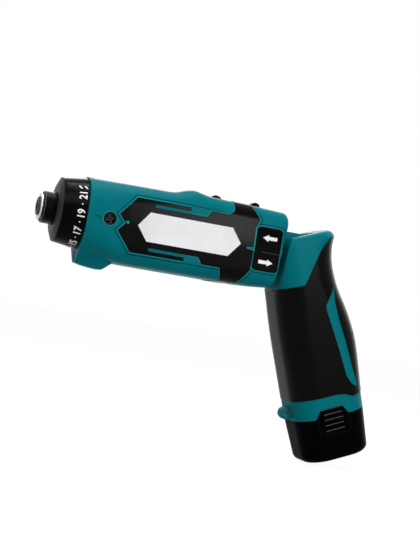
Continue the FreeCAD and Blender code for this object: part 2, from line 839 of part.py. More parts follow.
CAN_INNER = "(motor_r - can_wall)"
ROTOR_R = f"({CAN_INNER} - magnet_thickness - air_gap)"
X_ROTOR = f"({X_MOTOR} + (motor_length - rotor_length) / 2)"
X_MAGNET = f"({X_MOTOR} + (motor_length - magnet_length) / 2)"
keep(turned("motor_plate_part", [
    (X_GEAR_END, "plate_bore_r"),
    (X_GEAR_END, "case_r"),
    (X_MOTOR, "case_r"),
    (X_MOTOR, "plate_bore_r"),
]), "motor_plate")
keep(turned("can_part", [
    (f"{X_MOTOR} - motor_boss_length", "shaft_r + run_clearance"),
    (f"{X_MOTOR} - motor_boss_length", "motor_boss_r"),
    (X_MOTOR, "motor_boss_r"),
    (X_MOTOR, "motor_r"),
    (X_MOTOR_END, "motor_r"),
    (X_MOTOR_END, CAN_INNER),
    (f"{X_MOTOR} + can_wall", CAN_INNER),
    (f"{X_MOTOR} + can_wall", "shaft_r + run_clearance"),
]), "motor_can")
keep(turned("cap_part", [
    (X_MOTOR_END, "shaft_r + run_clearance"),
    (X_MOTOR_END, "motor_r"),
    (f"{X_CAP_END} - cap_length / 2", "motor_r"),
    (X_CAP_END, "motor_r - cap_length / 2"),
    (X_CAP_END, "shaft_r + run_clearance"),
]), "motor_end_cap")
magnets = []
for side, start_angle in (("left", "180"), ("right", "0")):
    tube = rod(f"magnet_tube_{side}", "X", (X_MAGNET, "0", "0"), CAN_INNER, "magnet_length")
    tube.Angle = size("magnet_angle")
    bind(tube, Angle="magnet_angle")
    tube.Placement.Rotation = Rotation(Vector(1, 0, 0),
                                       size(f"{start_angle} + 90 - magnet_angle / 2")).multiply(TURNS["X"])
    inner = rod(f"magnet_bore_{side}", "X", (X_MAGNET, "0", "0"), f"{CAN_INNER} - magnet_thickness",
                "magnet_length")
    magnets.append(cut(f"magnet_{side}", tube, inner))
keep(grouped("magnet_set", *magnets), "motor_magnets")
rotor_turned = turned("rotor_turned", [
    (X_REAR, "0"),
    (X_REAR, "shaft_r"),
    (X_ROTOR, "shaft_r"),
    (X_ROTOR, ROTOR_R),
    (f"{X_ROTOR} + rotor_length", ROTOR_R),
    (f"{X_ROTOR} + rotor_length", "commutator_r"),
    (f"{X_ROTOR} + rotor_length + commutator_length", "commutator_r"),
    (f"{X_ROTOR} + rotor_length + commutator_length", "shaft_r"),
    (X_CAP_END, "shaft_r"),
    (X_CAP_END, "0"),
])
rear_sun = shaped("rear_sun", toothed_bar(sun_teeth, X_REAR, "rear_gear_width", sun_phase))
keep(joined("rotor_part", rotor_turned, rear_sun), "motor_rotor")

# Head housing: one lofted form gives the outside, the inside, the rubber's face and its bed

# Each section: its share of the length, the shares by which the width, the bottom and the corners have gone
# over from the round front to the full block, the share of the sides' tilt, and the rise of the top
HEAD_SECTION_SHARES = [
    (0, 0, 0, 0, 0, "0"),
    (0.084, 0.36, 0.4, 0.17, 0.2, "0"),
    (0.142, 0.66, 0.78, 0.34, 0.5, "0"),
    (0.191, 0.84, 0.96, 0.5, 0.8, "0"),
    (0.25, 0.94, 1, 0.66, 1, "0"),
    (0.318, 0.99, 1, 0.84, 1, "0"),
    (0.386, 1, 1, 1, 1, "0"),
    (0.41, 1, 1, 1, 1, "0.08 * hump_rise"),
    (0.435, 1, 1, 1, 1, "0.34 * hump_rise"),
    (0.459, 1, 1, 1, 1, "0.65 * hump_rise"),
    (0.479, 1, 1, 1, 1, "0.88 * hump_rise"),
    (0.498, 1, 1, 1, 1, "hump_rise"),
    (0.518, 1, 1, 1, 1, "0.97 * hump_rise"),
    (0.542, 1, 1, 1, 1, "0.65 * hump_rise + 0.35 * top_rise"),
    (0.566, 1, 1, 1, 1, "0.3 * hump_rise + 0.7 * top_rise"),
    (0.591, 1, 1, 1, 1, "0.08 * hump_rise + 0.92 * top_rise"),
    (0.63, 1, 1, 1, 1, "top_rise"),
    (0.834, 1, 1, 1, 0.8, "rear_rise"),
    (0.922, 0.9, 0.88, 1, 0, "rear_rise / 2"),
    (1.039, 0.78, 0.72, 1, 0, "0"),
]


def head_form(name, outward):
    """The head's lofted form, moved outward all round by an expression."""
    sections = []
    for station_share, width_share, low_share, corner_share, tilt_share, rise in HEAD_SECTION_SHARES:
        half = f"({FRONT_R} + {width_share} * (head_half_width - {FRONT_R}) + {outward})"
        edge = f"({half} - {tilt_share} * side_tilt)"
        low = f"(-{FRONT_R} + {low_share} * ({Z_BOTTOM} + {FRONT_R}) - {outward})"
        top = f"({Z_TOP} + {rise} + {outward})"
        corner_r = f"(front_corner_r + {corner_share} * (head_corner_r - front_corner_r) + {outward})"
        corners = [(f"-{edge}", low, corner_r), (edge, low, corner_r), (half, Z_MIDDLE),
                   (edge, top, corner_r),
                   (f"-{edge}", top, corner_r), (f"-{half}", Z_MIDDLE)]
        sections.append((f"{X_HEAD} + {station_share} * head_length", corners))
    return lofted(name, "YZ_Plane", sections)


REACH = "(head_half_height + head_half_width)"
head_outer = head_form("head_outer", "0")
rear_slope = slab("rear_slope", "XZ_Plane", [
    (X_HEAD_END, f"{Z_TOP} + overrun"),
    (X_HEAD_END, Z_TOP),
    (f"{X_HEAD_END} - rear_slant", Z_BOTTOM),
    (f"{X_HEAD_END} - rear_slant", f"{Z_BOTTOM} - overrun"),
    (f"{X_HEAD_END} + overrun", f"{Z_BOTTOM} - overrun"),
    (f"{X_HEAD_END} + overrun", f"{Z_TOP} + overrun"),
], f"2 * {REACH}", "Symmetric")
head_sloped = cut("head_sloped", head_outer, rear_slope)
doc.recompute()
rear_face = max(head_sloped.Shape.Faces, key=lambda face: face.CenterOfMass.x)
rear_edges = [number for number, edge in enumerate(head_sloped.Shape.Edges, 1)
              if any(edge.isSame(other) for other in rear_face.Edges)]
head_block = doc.addObject("Part::Fillet", "head_block")
head_block.Base = head_sloped
head_block.Edges = [(number, size("rear_edge_r"), size("rear_edge_r")) for number in rear_edges]

cavity_span = block("cavity_span", (X_FLANGE, f"-{REACH}", f"-{REACH}"),
                    (f"{X_INNER_END} - {X_FLANGE}", f"2 * {REACH}", f"2 * {REACH}"))
head_cavity = shared("head_cavity", head_form("head_inner", "(-head_wall)"), cavity_span)
rubber_layer = cut("rubber_layer", head_form("rubber_face", "rubber_proud"),
                   head_form("rubber_bed", "(-rubber_depth)"))

# Ribs across the housing seat the gear case and the motor
RIBS = {
    "flange_rib": (f"{X_FLANGE} + rib_thickness / 2", "case_r"),
    "gear_rib": (f"{X_GEAR_END} - rib_inset - rib_thickness", "case_r"),
    "motor_front_rib": (f"{X_MOTOR} + rib_inset", "motor_r"),
    "motor_rear_rib": (f"{X_MOTOR_END} - rib_inset - rib_thickness", "motor_r"),
}
ribs = []
for name, (start, seat_r) in RIBS.items():
    wall = block(name + "_wall", (start, f"-{REACH}", f"-{REACH}"),
                 ("rib_thickness", f"2 * {REACH}", f"2 * {REACH}"))
    seat = rod(name + "_seat", "X", (f"{start} - overrun", "0", "0"), f"{seat_r} + seat_clearance",
               "rib_thickness + 2 * overrun")
    ribs.append(cut(name, shared(name + "_trim", wall, head_cavity), seat))

# Screw bosses: three along the bottom and one above the switch
Z_LOW_BOSS = f"({Z_BOTTOM} + head_wall + screw_inset)"
Z_HIGH_BOSS = f"({Z_TOP} - head_wall - boss_r)"
HEAD_SCREWS = [
    (f"{X_MOTOR} + 2 * rib_inset", Z_LOW_BOSS),
    (f"{X_MOTOR_END} + rib_inset", Z_LOW_BOSS),
    (f"{X_HEAD_END} - lock_from_rear", Z_LOW_BOSS),
    (f"{X_HEAD_END} - lock_from_rear / 2", Z_HIGH_BOSS),
]
bosses = [shared(f"boss_{i}", head_cavity,
                 rod(f"boss_bar_{i}", "Y", (x, f"-{REACH}", z), "boss_r", f"2 * {REACH}"))
          for i, (x, z) in enumerate(HEAD_SCREWS)]
SCREW_FACE = "(head_half_width - screw_recess)"


def side_screw(name, x, z, face, length):
    """A clamshell screw driven from the right, and the hole that it needs."""
    head = rod(name + "_head", "Y", (x, f"{face} - screw_head_length", z), "screw_head_r",
               "screw_head_length")
    shank = rod(name + "_shank", "Y", (x, f"{face} - screw_head_length - {length}", z), "screw_shank_r",
                length)
    sink = rod(name + "_sink", "Y", (x, f"{face} - screw_head_length", z), "screw_head_r + part_gap / 2",
               "screw_head_length + screw_recess + overrun")
    hole = rod(name + "_hole", "Y", (x, f"{face} - screw_head_length - {length} - part_gap", z),
               "screw_shank_r + seat_clearance", f"{length} + 2 * part_gap")
    return joined(name, head, shank), [sink, hole]


head_screws = [side_screw(f"head_screw_{i}", x, z, SCREW_FACE, "screw_length")
               for i, (x, z) in enumerate(HEAD_SCREWS)]
keep(grouped("head_screw_set", *[screw for screw, holes in head_screws]), "housing_screws")

# The chin under the nose holds the work lamp: a keel whose sides run down from the round head
# Each section: its share of the chin's length, the share by which its foot has widened, and its share of the
# chin's depth
CHIN_SECTION_SHARES = [
    (0, 0, 0.6),
    (0.2, 0.35, 0.8),
    (0.45, 0.7, 0.93),
    (0.68, 1, 1),
    (0.74, 1.05, 0.96),
    (0.83, 1.1, 0.66),
    (1.02, 1.2, -0.05),
]
Z_CHIN_ROOT = f"({Z_BOTTOM} + chin_root)"
chin_sections = []
for station_share, width_share, depth_share in CHIN_SECTION_SHARES:
    foot = f"(chin_front_half_width + {width_share} * (chin_half_width - chin_front_half_width))"
    low = f"({Z_BOTTOM} - {depth_share} * chin_depth)"
    chin_sections.append((f"{X_HEAD} + {station_share} * chin_length", [
        (f"-{foot}", low, "chin_corner_r"),
        (foot, low, "chin_corner_r"),
        ("chin_root_half_width", Z_CHIN_ROOT),
        ("-chin_root_half_width", Z_CHIN_ROOT),
    ]))
chin = lofted("chin", "YZ_Plane", chin_sections)
Z_LENS = f"({Z_BOTTOM} - {CHIN_SECTION_SHARES[0][2]} * chin_depth + lens_rim)"
Z_LENS_TOP = "(-ring_rear_r - lens_rim)"
lens_corners = rounded("-lens_half_width", "lens_half_width", Z_LENS, Z_LENS_TOP, "lens_half_width / 2")
keep(slab("lens_part", "YZ_Plane", lens_corners, "lens_thickness", at=X_HEAD), "lamp_lens")
lamp_cave = slab("lamp_cave", "YZ_Plane", lens_corners, "lamp_room", at=X_HEAD)
X_LAMP = f"({X_HEAD} + lamp_room - lamp_board)"
Z_LAMP = f"(({Z_LENS} + {Z_LENS_TOP}) / 2)"
lamp_plate = slab("lamp_plate", "YZ_Plane", lens_corners, "lamp_board", at=X_LAMP)
lamp_bead = ball("lamp_bead", (X_LAMP, "0", Z_LAMP), "lamp_r")
keep(joined("lamp_part", lamp_plate, lamp_bead), "lamp_board")

# Side panels: x is a share of the panel's length, z a share of its half height
PANEL_SHARES = [
    (0, -0.3), (0.11, -1), (0.5, -1), (0.5, -0.865), (0.24, -0.865), (0.23, -0.745), (0.605, -0.76),
    (0.637, -1), (0.772, -1), (0.806, -1.45), (0.806, -2), (0.915, -2), (0.932, -1.42), (1, -0.9),
    (1, -0.16), (0.945, -0.13), (0.945, -0.05), (0.997, -0.04), (0.995, 0.7), (1.02, 1.01), (0.958, 1.47),
    (0.958, 2.2), (0.822, 2.2), (0.822, 1.16), (0.787, 1), (0.655, 1),
    (0.624, 0.75), (0.236, 0.745), (0.246, 0.865), (0.5, 0.865), (0.5, 1), (0.11, 1), (0, 0.3), (0.05, 0),
]
X_PANEL = f"({X_HEAD} + panel_setback)"
panel_corners = [(f"{X_PANEL} + {along} * panel_length", f"{Z_MIDDLE} + {up} * panel_half_height")
                 for along, up in PANEL_SHARES]
panel_left_form = slab("panel_left_form", "XZ_Plane", panel_corners, REACH)
panel_right_form = slab("panel_right_form", "XZ_Plane", panel_corners, REACH, back=True)
panel_left = shared("panel_left", rubber_layer, panel_left_form)
panel_right = shared("panel_right", rubber_layer, panel_right_form)

LABEL_SHARES = [(0, 0), (0.1, -1), (0.89, -1), (1, 0), (0.9, 1), (0.1, 1)]
X_LABEL = f"({X_PANEL} + label_setback)"
label = slab("label_part", "XZ_Plane",
             [(f"{X_LABEL} + {along} * label_length", f"{Z_MIDDLE} + {up} * label_half_height")
              for along, up in LABEL_SHARES],
             "label_thickness", back=True, at="head_half_width + rubber_proud + label_proud")
keep(label, "label_plate")

# Switch rocker in its window, on two stub axles
X_ROCKER_END = f"({X_HEAD_END} - rocker_from_rear)"
X_ROCKER = f"({X_ROCKER_END} - rocker_length)"
Z_ROCKER = f"({Z_MIDDLE} - rocker_drop)"
Y_ROCKER = "(head_half_width + rocker_proud)"
Y_AXLE = "(-head_half_width + rocker_axle_depth)"
rocker_side = slab("rocker_side", "XZ_Plane",
                   rounded(X_ROCKER, X_ROCKER_END, f"{Z_ROCKER} - rocker_height / 2",
                           f"{Z_ROCKER} + rocker_height / 2",
                           "rocker_corner_r"),
                   "rocker_thickness", back=True, at=Y_ROCKER)
rocker_valley = slab("rocker_valley", "YZ_Plane", [
    (f"-{Y_ROCKER} + rocker_valley", Z_ROCKER),
    (f"-{Y_ROCKER}", f"{Z_ROCKER} + rocker_height / 2"),
    (f"-{Y_ROCKER} - overrun", f"{Z_ROCKER} + rocker_height / 2"),
    (f"-{Y_ROCKER} - overrun", f"{Z_ROCKER} - rocker_height / 2"),
    (f"-{Y_ROCKER}", f"{Z_ROCKER} - rocker_height / 2"),
], "rocker_length + 2 * overrun", at=f"{X_ROCKER} - overrun")
rocker_axle = rod("rocker_axle", "X", (f"{X_ROCKER} - rocker_axle_reach", Y_AXLE, Z_ROCKER), "rocker_axle_r",
                  "rocker_length + 2 * rocker_axle_reach")
keep(joined("rocker_part", cut("rocker_cap", rocker_side, rocker_valley), rocker_axle), "switch_rocker")
rocker_window = slab("rocker_window", "XZ_Plane",
                     rounded(f"{X_ROCKER} - rocker_gap", f"{X_ROCKER_END} + rocker_gap",
                             f"{Z_ROCKER} - rocker_height / 2 - rocker_gap",
                             f"{Z_ROCKER} + rocker_height / 2 + rocker_gap", "rocker_corner_r + rocker_gap"),
                     "rocker_thickness + rocker_proud + overrun", back=True, at=f"{Y_ROCKER} + overrun")
rocker_bearing = rod("rocker_bearing", "X", (f"{X_ROCKER} - rocker_axle_reach - part_gap", Y_AXLE, Z_ROCKER),
                     "rocker_axle_r + run_clearance", "rocker_length + 2 * rocker_axle_reach + 2 * part_gap")

# Switch unit behind the rocker, with the control board on its roof
Y_SWITCH = "(-head_half_width + rocker_thickness - rocker_proud + 4 * rocker_gap)"
switch_box = block("switch_box", (X_ROCKER, Y_SWITCH, f"{Z_ROCKER} - switch_height / 2"),
                   (f"{X_INNER_END} - {X_ROCKER}", "switch_thickness", "switch_height"))
plungers = [rod(f"plunger_{name}", "Y", (f"({X_ROCKER} + {X_INNER_END}) / 2", f"{Y_SWITCH} - 2 * rocker_gap",
                                         f"{Z_ROCKER} {sign} switch_height / 3"), "plunger_r",
                "3 * rocker_gap")
            for name, sign in (("low", "-"), ("high", "+"))]
keep(joined("switch_part", switch_box, *plungers), "switch_unit")
Z_BOARD = f"({Z_ROCKER} + switch_height / 2)"
board = block("board", (f"{X_INNER_END} - board_length", "-board_half_width", Z_BOARD),
              ("board_length", "2 * board_half_width", "board_thickness"))
CHIP_SHARES = [(0.95, -0.9), (0.7, 0.3), (0.62, -0.8), (0.3, 0.45)]
chips = [block(f"chip_{i}", (f"{X_INNER_END} - {along} * board_length", f"{across} * board_half_width",
                             f"{Z_BOARD} + board_thickness"),
               ("board_length / 6", "board_half_width / 2", "chip_height"))
         for i, (along, across) in enumerate(CHIP_SHARES)]
keep(joined("board_part", board, *chips), "control_board")

# Speed lever and lock button on top of the head
X_LEVER = f"({X_HEAD_END} - lever_from_rear)"
Z_LEVER_FLOOR = f"({Z_TOP} + top_rise - lever_recess)"
Z_LEVER = f"({Z_LEVER_FLOOR} + part_gap)"
Z_ROOF = f"({Z_TOP} + rear_rise - head_wall)"
lever_knob = rod("lever_knob", "Z", (X_LEVER, "0", Z_LEVER), "lever_r", "lever_height / 2")
lever_bar = block("lever_bar", (f"{X_LEVER} - lever_r", "-lever_grip / 2", Z_LEVER),
                  ("2 * lever_r", "lever_grip", "lever_height"))
lever_shaft = rod("lever_shaft", "Z", (X_LEVER, "0", f"{Z_ROOF} - part_gap - lever_collar"), "lever_shaft_r",
                  f"{Z_LEVER} - {Z_ROOF} + part_gap + lever_collar")
lever_collar = rod("lever_collar", "Z", (X_LEVER, "0", f"{Z_ROOF} - part_gap - lever_collar"),
                   "lever_collar_r",
                   "lever_collar")
lever_limit = rod("lever_limit", "Z", (X_LEVER, "0", Z_ROOF), "lever_r",
                  f"{Z_LEVER} + lever_height - {Z_ROOF}")
LEVER_DOME_R = "((lever_r * lever_r + lever_dome * lever_dome) / (2 * lever_dome))"
lever_dome = ball("lever_dome_ball", (X_LEVER, "0", f"{Z_LEVER} + lever_height - {LEVER_DOME_R}"),
                  LEVER_DOME_R)
lever_fin = shared("lever_fin", lever_bar, lever_limit, lever_dome)
keep(joined("lever_part", lever_knob, lever_fin, lever_shaft, lever_collar), "speed_lever")
lever_sink = rod("lever_sink", "Z", (X_LEVER, "0", Z_LEVER_FLOOR), "lever_r + part_gap",
                 "lever_height + overrun")
lever_hole = rod("lever_hole", "Z", (X_LEVER, "0", "0"), "lever_shaft_r + run_clearance",
                 f"{Z_TOP} + overrun")

X_LOCK = f"({X_HEAD_END} - lock_from_rear)"
Z_LOCK = f"({Z_TOP} + rear_rise + lock_travel + lock_rest)"
Z_LOCK_DOME = f"({Z_LOCK} - lock_dome)"
Z_LOCK_FLANGE = f"({Z_TOP} - head_wall - part_gap - lock_flange_length)"
lock_corners = rounded(f"{X_LOCK} - lock_length / 2", f"{X_LOCK} + lock_length / 2", "-lock_width / 2",
                       "lock_width / 2", "lock_width / 4")
lock_stem = slab("lock_stem", "XY_Plane", lock_corners, f"{Z_LOCK_DOME} - {Z_LOCK_FLANGE}", at=Z_LOCK_FLANGE)
LOCK_DOME_R = "((lock_length * lock_length / 4 + lock_dome * lock_dome) / (2 * lock_dome))"
lock_round = rod("lock_round", "Y", (X_LOCK, "-lock_width", f"{Z_LOCK} - {LOCK_DOME_R}"), LOCK_DOME_R,
                 "2 * lock_width")
lock_top = shared("lock_top", slab("lock_top_block", "XY_Plane", lock_corners, "lock_dome", at=Z_LOCK_DOME),
                  lock_round)
lock_flange = block("lock_flange_plate",
                    (f"{X_LOCK} - lock_length / 2 - lock_flange", "-lock_width / 2 - lock_flange",
                                          Z_LOCK_FLANGE),
                    ("lock_length + 2 * lock_flange", "lock_width + 2 * lock_flange", "lock_flange_length"))
keep(joined("lock_part", lock_stem, lock_top, lock_flange), "lock_button")
lock_hole = slab("lock_hole", "XY_Plane",
                 rounded(f"{X_LOCK} - lock_length / 2 - part_gap", f"{X_LOCK} + lock_length / 2 + part_gap",
                         "-lock_width / 2 - part_gap", "lock_width / 2 + part_gap",
                         "lock_width / 4 + part_gap"),
                 f"{Z_TOP} + overrun", at="0")

# Nose screw, sunk in the left side behind the ring
Y_NOSE_SCREW = "(-head_half_width + nose_screw_sink)"
nose_head = rod("nose_head", "Y", (X_NOSE_SCREW, Y_NOSE_SCREW, Z_NOSE_SCREW), "nose_screw_r",
                "nose_screw_head")
nose_shank = rod("nose_shank", "Y", (X_NOSE_SCREW, Y_NOSE_SCREW, Z_NOSE_SCREW), "nose_shank_r",
                 f"-{Y_NOSE_SCREW} - ring_gear_r - seat_clearance - part_gap")
keep(joined("nose_screw_part", nose_head, nose_shank), "nose_screw")
nose_sink = rod("nose_sink", "Y", (X_NOSE_SCREW, f"{Y_NOSE_SCREW} - overrun", Z_NOSE_SCREW),
                "nose_screw_r + part_gap / 2", "nose_screw_head + overrun")

# Tongue that the handle folds on
tongue_bar = block("tongue_bar", (X_INNER_END, "-tongue_half_width", f"-{TONGUE_R}"),
                   (f"{X_HINGE} - {X_INNER_END}", "2 * tongue_half_width", f"2 * {TONGUE_R}"))
tongue_end = rod("tongue_end", "Y", (X_HINGE, "-tongue_half_width", "0"), TONGUE_R, "2 * tongue_half_width")
pin_hole = rod("pin_hole", "Y", (X_HINGE, "-pin_half_length", "0"), "pin_r + run_clearance",
               "2 * pin_half_length")

case_bore = rod("case_bore", "X", (X_FLANGE, "0", "0"), "case_r + seat_clearance", f"{X_MOTOR} - {X_FLANGE}")
front_bore = rod("front_bore", "X", (f"{X_HEAD} - overrun", "0", "0"), "ring_bore_r + part_gap",
                 "front_wall + 2 * overrun")
top_mark = block("top_mark", (X_HEAD, "-mark_width / 2", f"{Z_TOP} - mark_rise"),
                 ("mark_length", "mark_width", "2 * mark_rise"))
head_hollow = joined("head_hollow", cut("head_wall_form", head_block, head_cavity), chin, tongue_bar,
                     tongue_end, top_mark, *ribs, *bosses)
head_holes = [hole for screw, holes in head_screws for hole in holes]
head_whole = cut("head_whole", head_hollow, front_bore, case_bore, lamp_cave, panel_left, panel_right,
                 rocker_window, rocker_bearing, lever_sink, lever_hole, lock_hole, nose_sink, nose_shank,
                 pin_hole, *head_holes)
HALF_SPACE = ("3 * head_length", "2 * head_length", "3 * head_length")
left_half = block("left_half", ("-head_length", "-2 * head_length", "-2 * head_length"), HALF_SPACE)
right_half = block("right_half", ("-head_length", "0", "-2 * head_length"), HALF_SPACE)
keep(shared("head_left", head_whole, left_half), "head_shell_left")
keep(shared("head_right", head_whole, right_half), "head_shell_right")
keep(cut("grip_left", panel_left, label), "head_grip_left")
keep(panel_right, "head_grip_right")

# Handle, drawn upright about its hinge


def mix(first, second, share):
    """A value part of the way from one size to another."""
    return f"({first} + {share} * ({second} - {first}))"


# Each section: its level as a share of the drop to the band's lower edge, or with a minus of the rise to the
# horn's top, how far the front and the back have gone from one named size to the next, and its share of the
# top's edge
HANDLE_SECTION_SHARES = [
    (1, "foot_front", "foot_back", 0),
    (0.94, "foot_front", mix("foot_back", "grip_back", 0.08), 0),
    (0.87, mix("foot_front", "grip_front", 0.33), mix("foot_back", "grip_back", 0.25), 0),
    (0.78, mix("foot_front", "grip_front", 0.6), mix("foot_back", "grip_back", 0.56), 0),
    (0.69, mix("foot_front", "grip_front", 0.85), mix("foot_back", "grip_back", 0.84), 0),
    (0.61, "grip_front", "grip_back", 0),
    (0.55, mix("grip_front", "neck_front", 0.06), mix("grip_back", "neck_back", 0.02), 0),
    (0.49, mix("grip_front", "neck_front", 0.14), mix("grip_back", "neck_back", 0.12), 0),
    (0.43, mix("grip_front", "neck_front", 0.26), mix("grip_back", "neck_back", 0.27), 0),
    (0.36, mix("grip_front", "neck_front", 0.45), mix("grip_back", "neck_back", 0.5), 0),
    (0.3, mix("grip_front", "neck_front", 0.66), mix("grip_back", "neck_back", 0.75), 0),
    (0.24, mix("grip_front", "neck_front", 0.85), mix("grip_back", "neck_back", 0.92), 0),
    (0.19, "neck_front", "neck_back", 0),
    (0.13, "neck_front", mix("neck_back", "horn_back", -0.02), 0),
    (0.08, "neck_front", mix("neck_back", "horn_back", 0.06), 0),
    (0.04, "neck_front", mix("neck_back", "horn_back", 0.22), 0),
    (0, "neck_front", mix("neck_back", "horn_back", 0.45), 0),
    (-0.3, "neck_front", mix("neck_back", "horn_back", 0.7), 0),
    (-0.62, "neck_front", "horn_back", 0),
    (-0.8, "neck_front", mix("neck_back", "horn_back", 0.84), 0.16),
    (-0.92, "neck_front", mix("neck_back", "horn_back", 0.68), 0.5),
    (-1, "neck_front", mix("neck_back", "horn_back", 0.46), 1),
]


def handle_form(name, outward):
    """The handle's lofted form, moved outward all round by an expression."""
    sections = []
    for level_share, front, back, edge_share in HANDLE_SECTION_SHARES:
        level = f"{-level_share} * {'handle_bottom' if level_share > 0 else 'horn_top'}"
        half = f"(handle_half_width - {edge_share} * horn_edge + {outward})"
        sections.append((level, rounded(f"-{front} - {outward}", f"{back} + {outward}", f"-{half}", half,
                                        f"handle_corner_r + {outward}")))
    return lofted(name, "XY_Plane", sections)


HANDLE_REACH = "(1.2 * handle_bottom)"
CORNER_IN = "(hinge_r * tan((90 - rake) / 2))"
hinge_clear = slab("hinge_clear", "XZ_Plane", [
    (f"-{CORNER_IN}", "hinge_r", "hinge_r"),
    (f"-{CORNER_IN} - {HANDLE_REACH} * sin(rake)", f"hinge_r - {HANDLE_REACH} * cos(rake)"),
    (f"-2 * {HANDLE_REACH}", f"hinge_r - {HANDLE_REACH} * cos(rake)"),
    (f"-2 * {HANDLE_REACH}", HANDLE_REACH),
    (HANDLE_REACH, HANDLE_REACH),
    (HANDLE_REACH, "hinge_r"),
], f"2 * {HANDLE_REACH}", "Symmetric")
SLOT_DROP = "(hinge_r * tan((90 + rake) / 2))"
hinge_slot = slab("hinge_slot", "XZ_Plane", [
    ("hinge_r", f"-{SLOT_DROP}", "hinge_r"),
    ("hinge_r", HANDLE_REACH),
    (f"-{HANDLE_REACH}", HANDLE_REACH),
    (f"hinge_r - {HANDLE_REACH} * cos(rake)", f"-{SLOT_DROP} + {HANDLE_REACH} * sin(rake)"),
], f"2 * {SLOT_HALF}", "Symmetric")
pin_seat = rod("pin_seat", "Y", ("0", "-pin_half_length", "0"), "pin_r + seat_clearance",
               "2 * pin_half_length")


def stem_form(name, grow, start, end):
    """The battery's stem as an upright bar with round corners, grown all round."""
    half_length, half_width = f"({STEM_HALF_LENGTH} + {grow})", f"({STEM_HALF_WIDTH} + {grow})"
    return slab(name, "XY_Plane", rounded(f"-{half_length}", half_length, f"-{half_width}", half_width,
                                          f"stem_corner_r + {grow}"), f"{end} - {start}", at=start)


stem_channel = stem_form("stem_channel", "stem_clearance", "(-handle_bottom - overrun)",
                         f"({Z_STEM_TOP} + part_gap)")
block_pocket = block("block_pocket", ("-block_half_length", "-block_half_width", Z_STEM_TOP),
                     ("2 * block_half_length", "2 * block_half_width", "block_height + part_gap"))

# Strap lug on the front of the bottom band
Z_LUG = "(-handle_bottom + lug_rise)"
X_LUG = "(-foot_front - lug_reach)"
lug_bar = rod("lug_bar", "Y", (X_LUG, "-lug_half_length", Z_LUG), "lug_r", "2 * lug_half_length")
doc.recompute()
lug_round = doc.addObject("Part::Fillet", "lug_round")
lug_round.Base = lug_bar
lug_round.Edges = [(number, size("lug_edge_r"), size("lug_edge_r"))
                   for number, edge in enumerate(lug_bar.Shape.Edges, 1) if edge.Closed and edge.Length > 0
                   and isinstance(edge.Curve, Part.Circle)]
lug_hole = rod("lug_hole", "Y", (X_LUG, "-lug_half_length - overrun", Z_LUG), "lug_hole_r",
               "2 * lug_half_length + 2 * overrun")

# Arched notches in the band for the release buttons
X_BUTTON = "(-button_shift - button_length / 2)"
Z_BUTTON_TOP = "(-handle_bottom + arch_height - button_gap)"
Y_BUTTON = "(handle_half_width + button_proud)"


def button(name, side, grow, depth, from_face="0"):
    """A release button's plate, or with grow and more depth the room that it moves in."""
    left, right = f"({X_BUTTON} - {grow})", f"({X_BUTTON} + button_length + {grow})"
    top, bottom = f"({Z_BUTTON_TOP} + {grow})", f"({Z_BUTTON_TOP} - button_height - {grow})"
    face = f"({Y_BUTTON} + {from_face})"
    return slab(name, "XZ_Plane", [
        (left, bottom, "button_corner_r"),
        (right, bottom, "button_corner_r"),
        (right, "-handle_bottom"),
        (f"{right} - button_slope", top, "button_corner_r"),
        (f"{left} + button_slope", top, "button_corner_r"),
        (left, "-handle_bottom"),
    ], depth, back=side == "left", at=face if side == "left" else f"-{face}")


SIDES = ("left", "right")
arches = [button(f"arch_{side}", side, "button_gap", "button_thickness + button_travel + part_gap + overrun",
                 "overrun")
          for side in SIDES]

# Rubber grip: its side outline, with the window for the stripe
grip_layer = cut("grip_layer", handle_form("grip_face", "rubber_proud"),
                 handle_form("grip_bed", "(-rubber_depth)"))
GRIP_SHARES = [
    (-2, 1), (0.02, 1), (0.28, 0.93), (0.5, 0.72), (0.68, 0.76), (2, 0.86),
]
HORN_SHARES = (0.74, 0.4)
grip_corners = [(f"{along} * grip_back", f"-handle_bottom + {up} * band_height") for along, up in GRIP_SHARES]
grip_corners += [
    ("2 * grip_back", "hinge_r - horn_drop"),
    (f"{HORN_SHARES[0]} * horn_back", "hinge_r - horn_drop + horn_rise"),
    (f"{HORN_SHARES[1]} * horn_back", "0"),
    ("-cheek_front", "-cheek_drop"),
    ("-2 * grip_back", "-cheek_drop"),
]
STRIPE_SHARES = [
    (0.6, 0.055), (0.225, 0.21), (0.215, 0.26), (0.34, 0.6), (0.41, 0.86), (0.52, 0.94), (0.7, 0.985),
    (0.72, 0.955), (0.64, 0.83), (0.57, 0.58), (0.5, 0.35), (0.49, 0.2),
]
GRIP_HEIGHT = "(handle_bottom - band_height - cheek_drop)"
stripe_corners = [(f"{along} * grip_back", f"-cheek_drop - {down} * {GRIP_HEIGHT}")
                  for along, down in STRIPE_SHARES]
grips = {}
for side, back in zip(SIDES, (False, True)):
    grip_form = slab(f"grip_form_{side}", "XZ_Plane", grip_corners, HANDLE_REACH, back=back)
    stripe = slab(f"stripe_{side}", "XZ_Plane", stripe_corners, HANDLE_REACH, back=back)
    grip_cut = shared(f"grip_cut_{side}", grip_layer, cut(f"grip_outline_{side}", grip_form, stripe))
    grips[side] = cut(f"grip_piece_{side}", grip_cut, hinge_clear, hinge_slot)

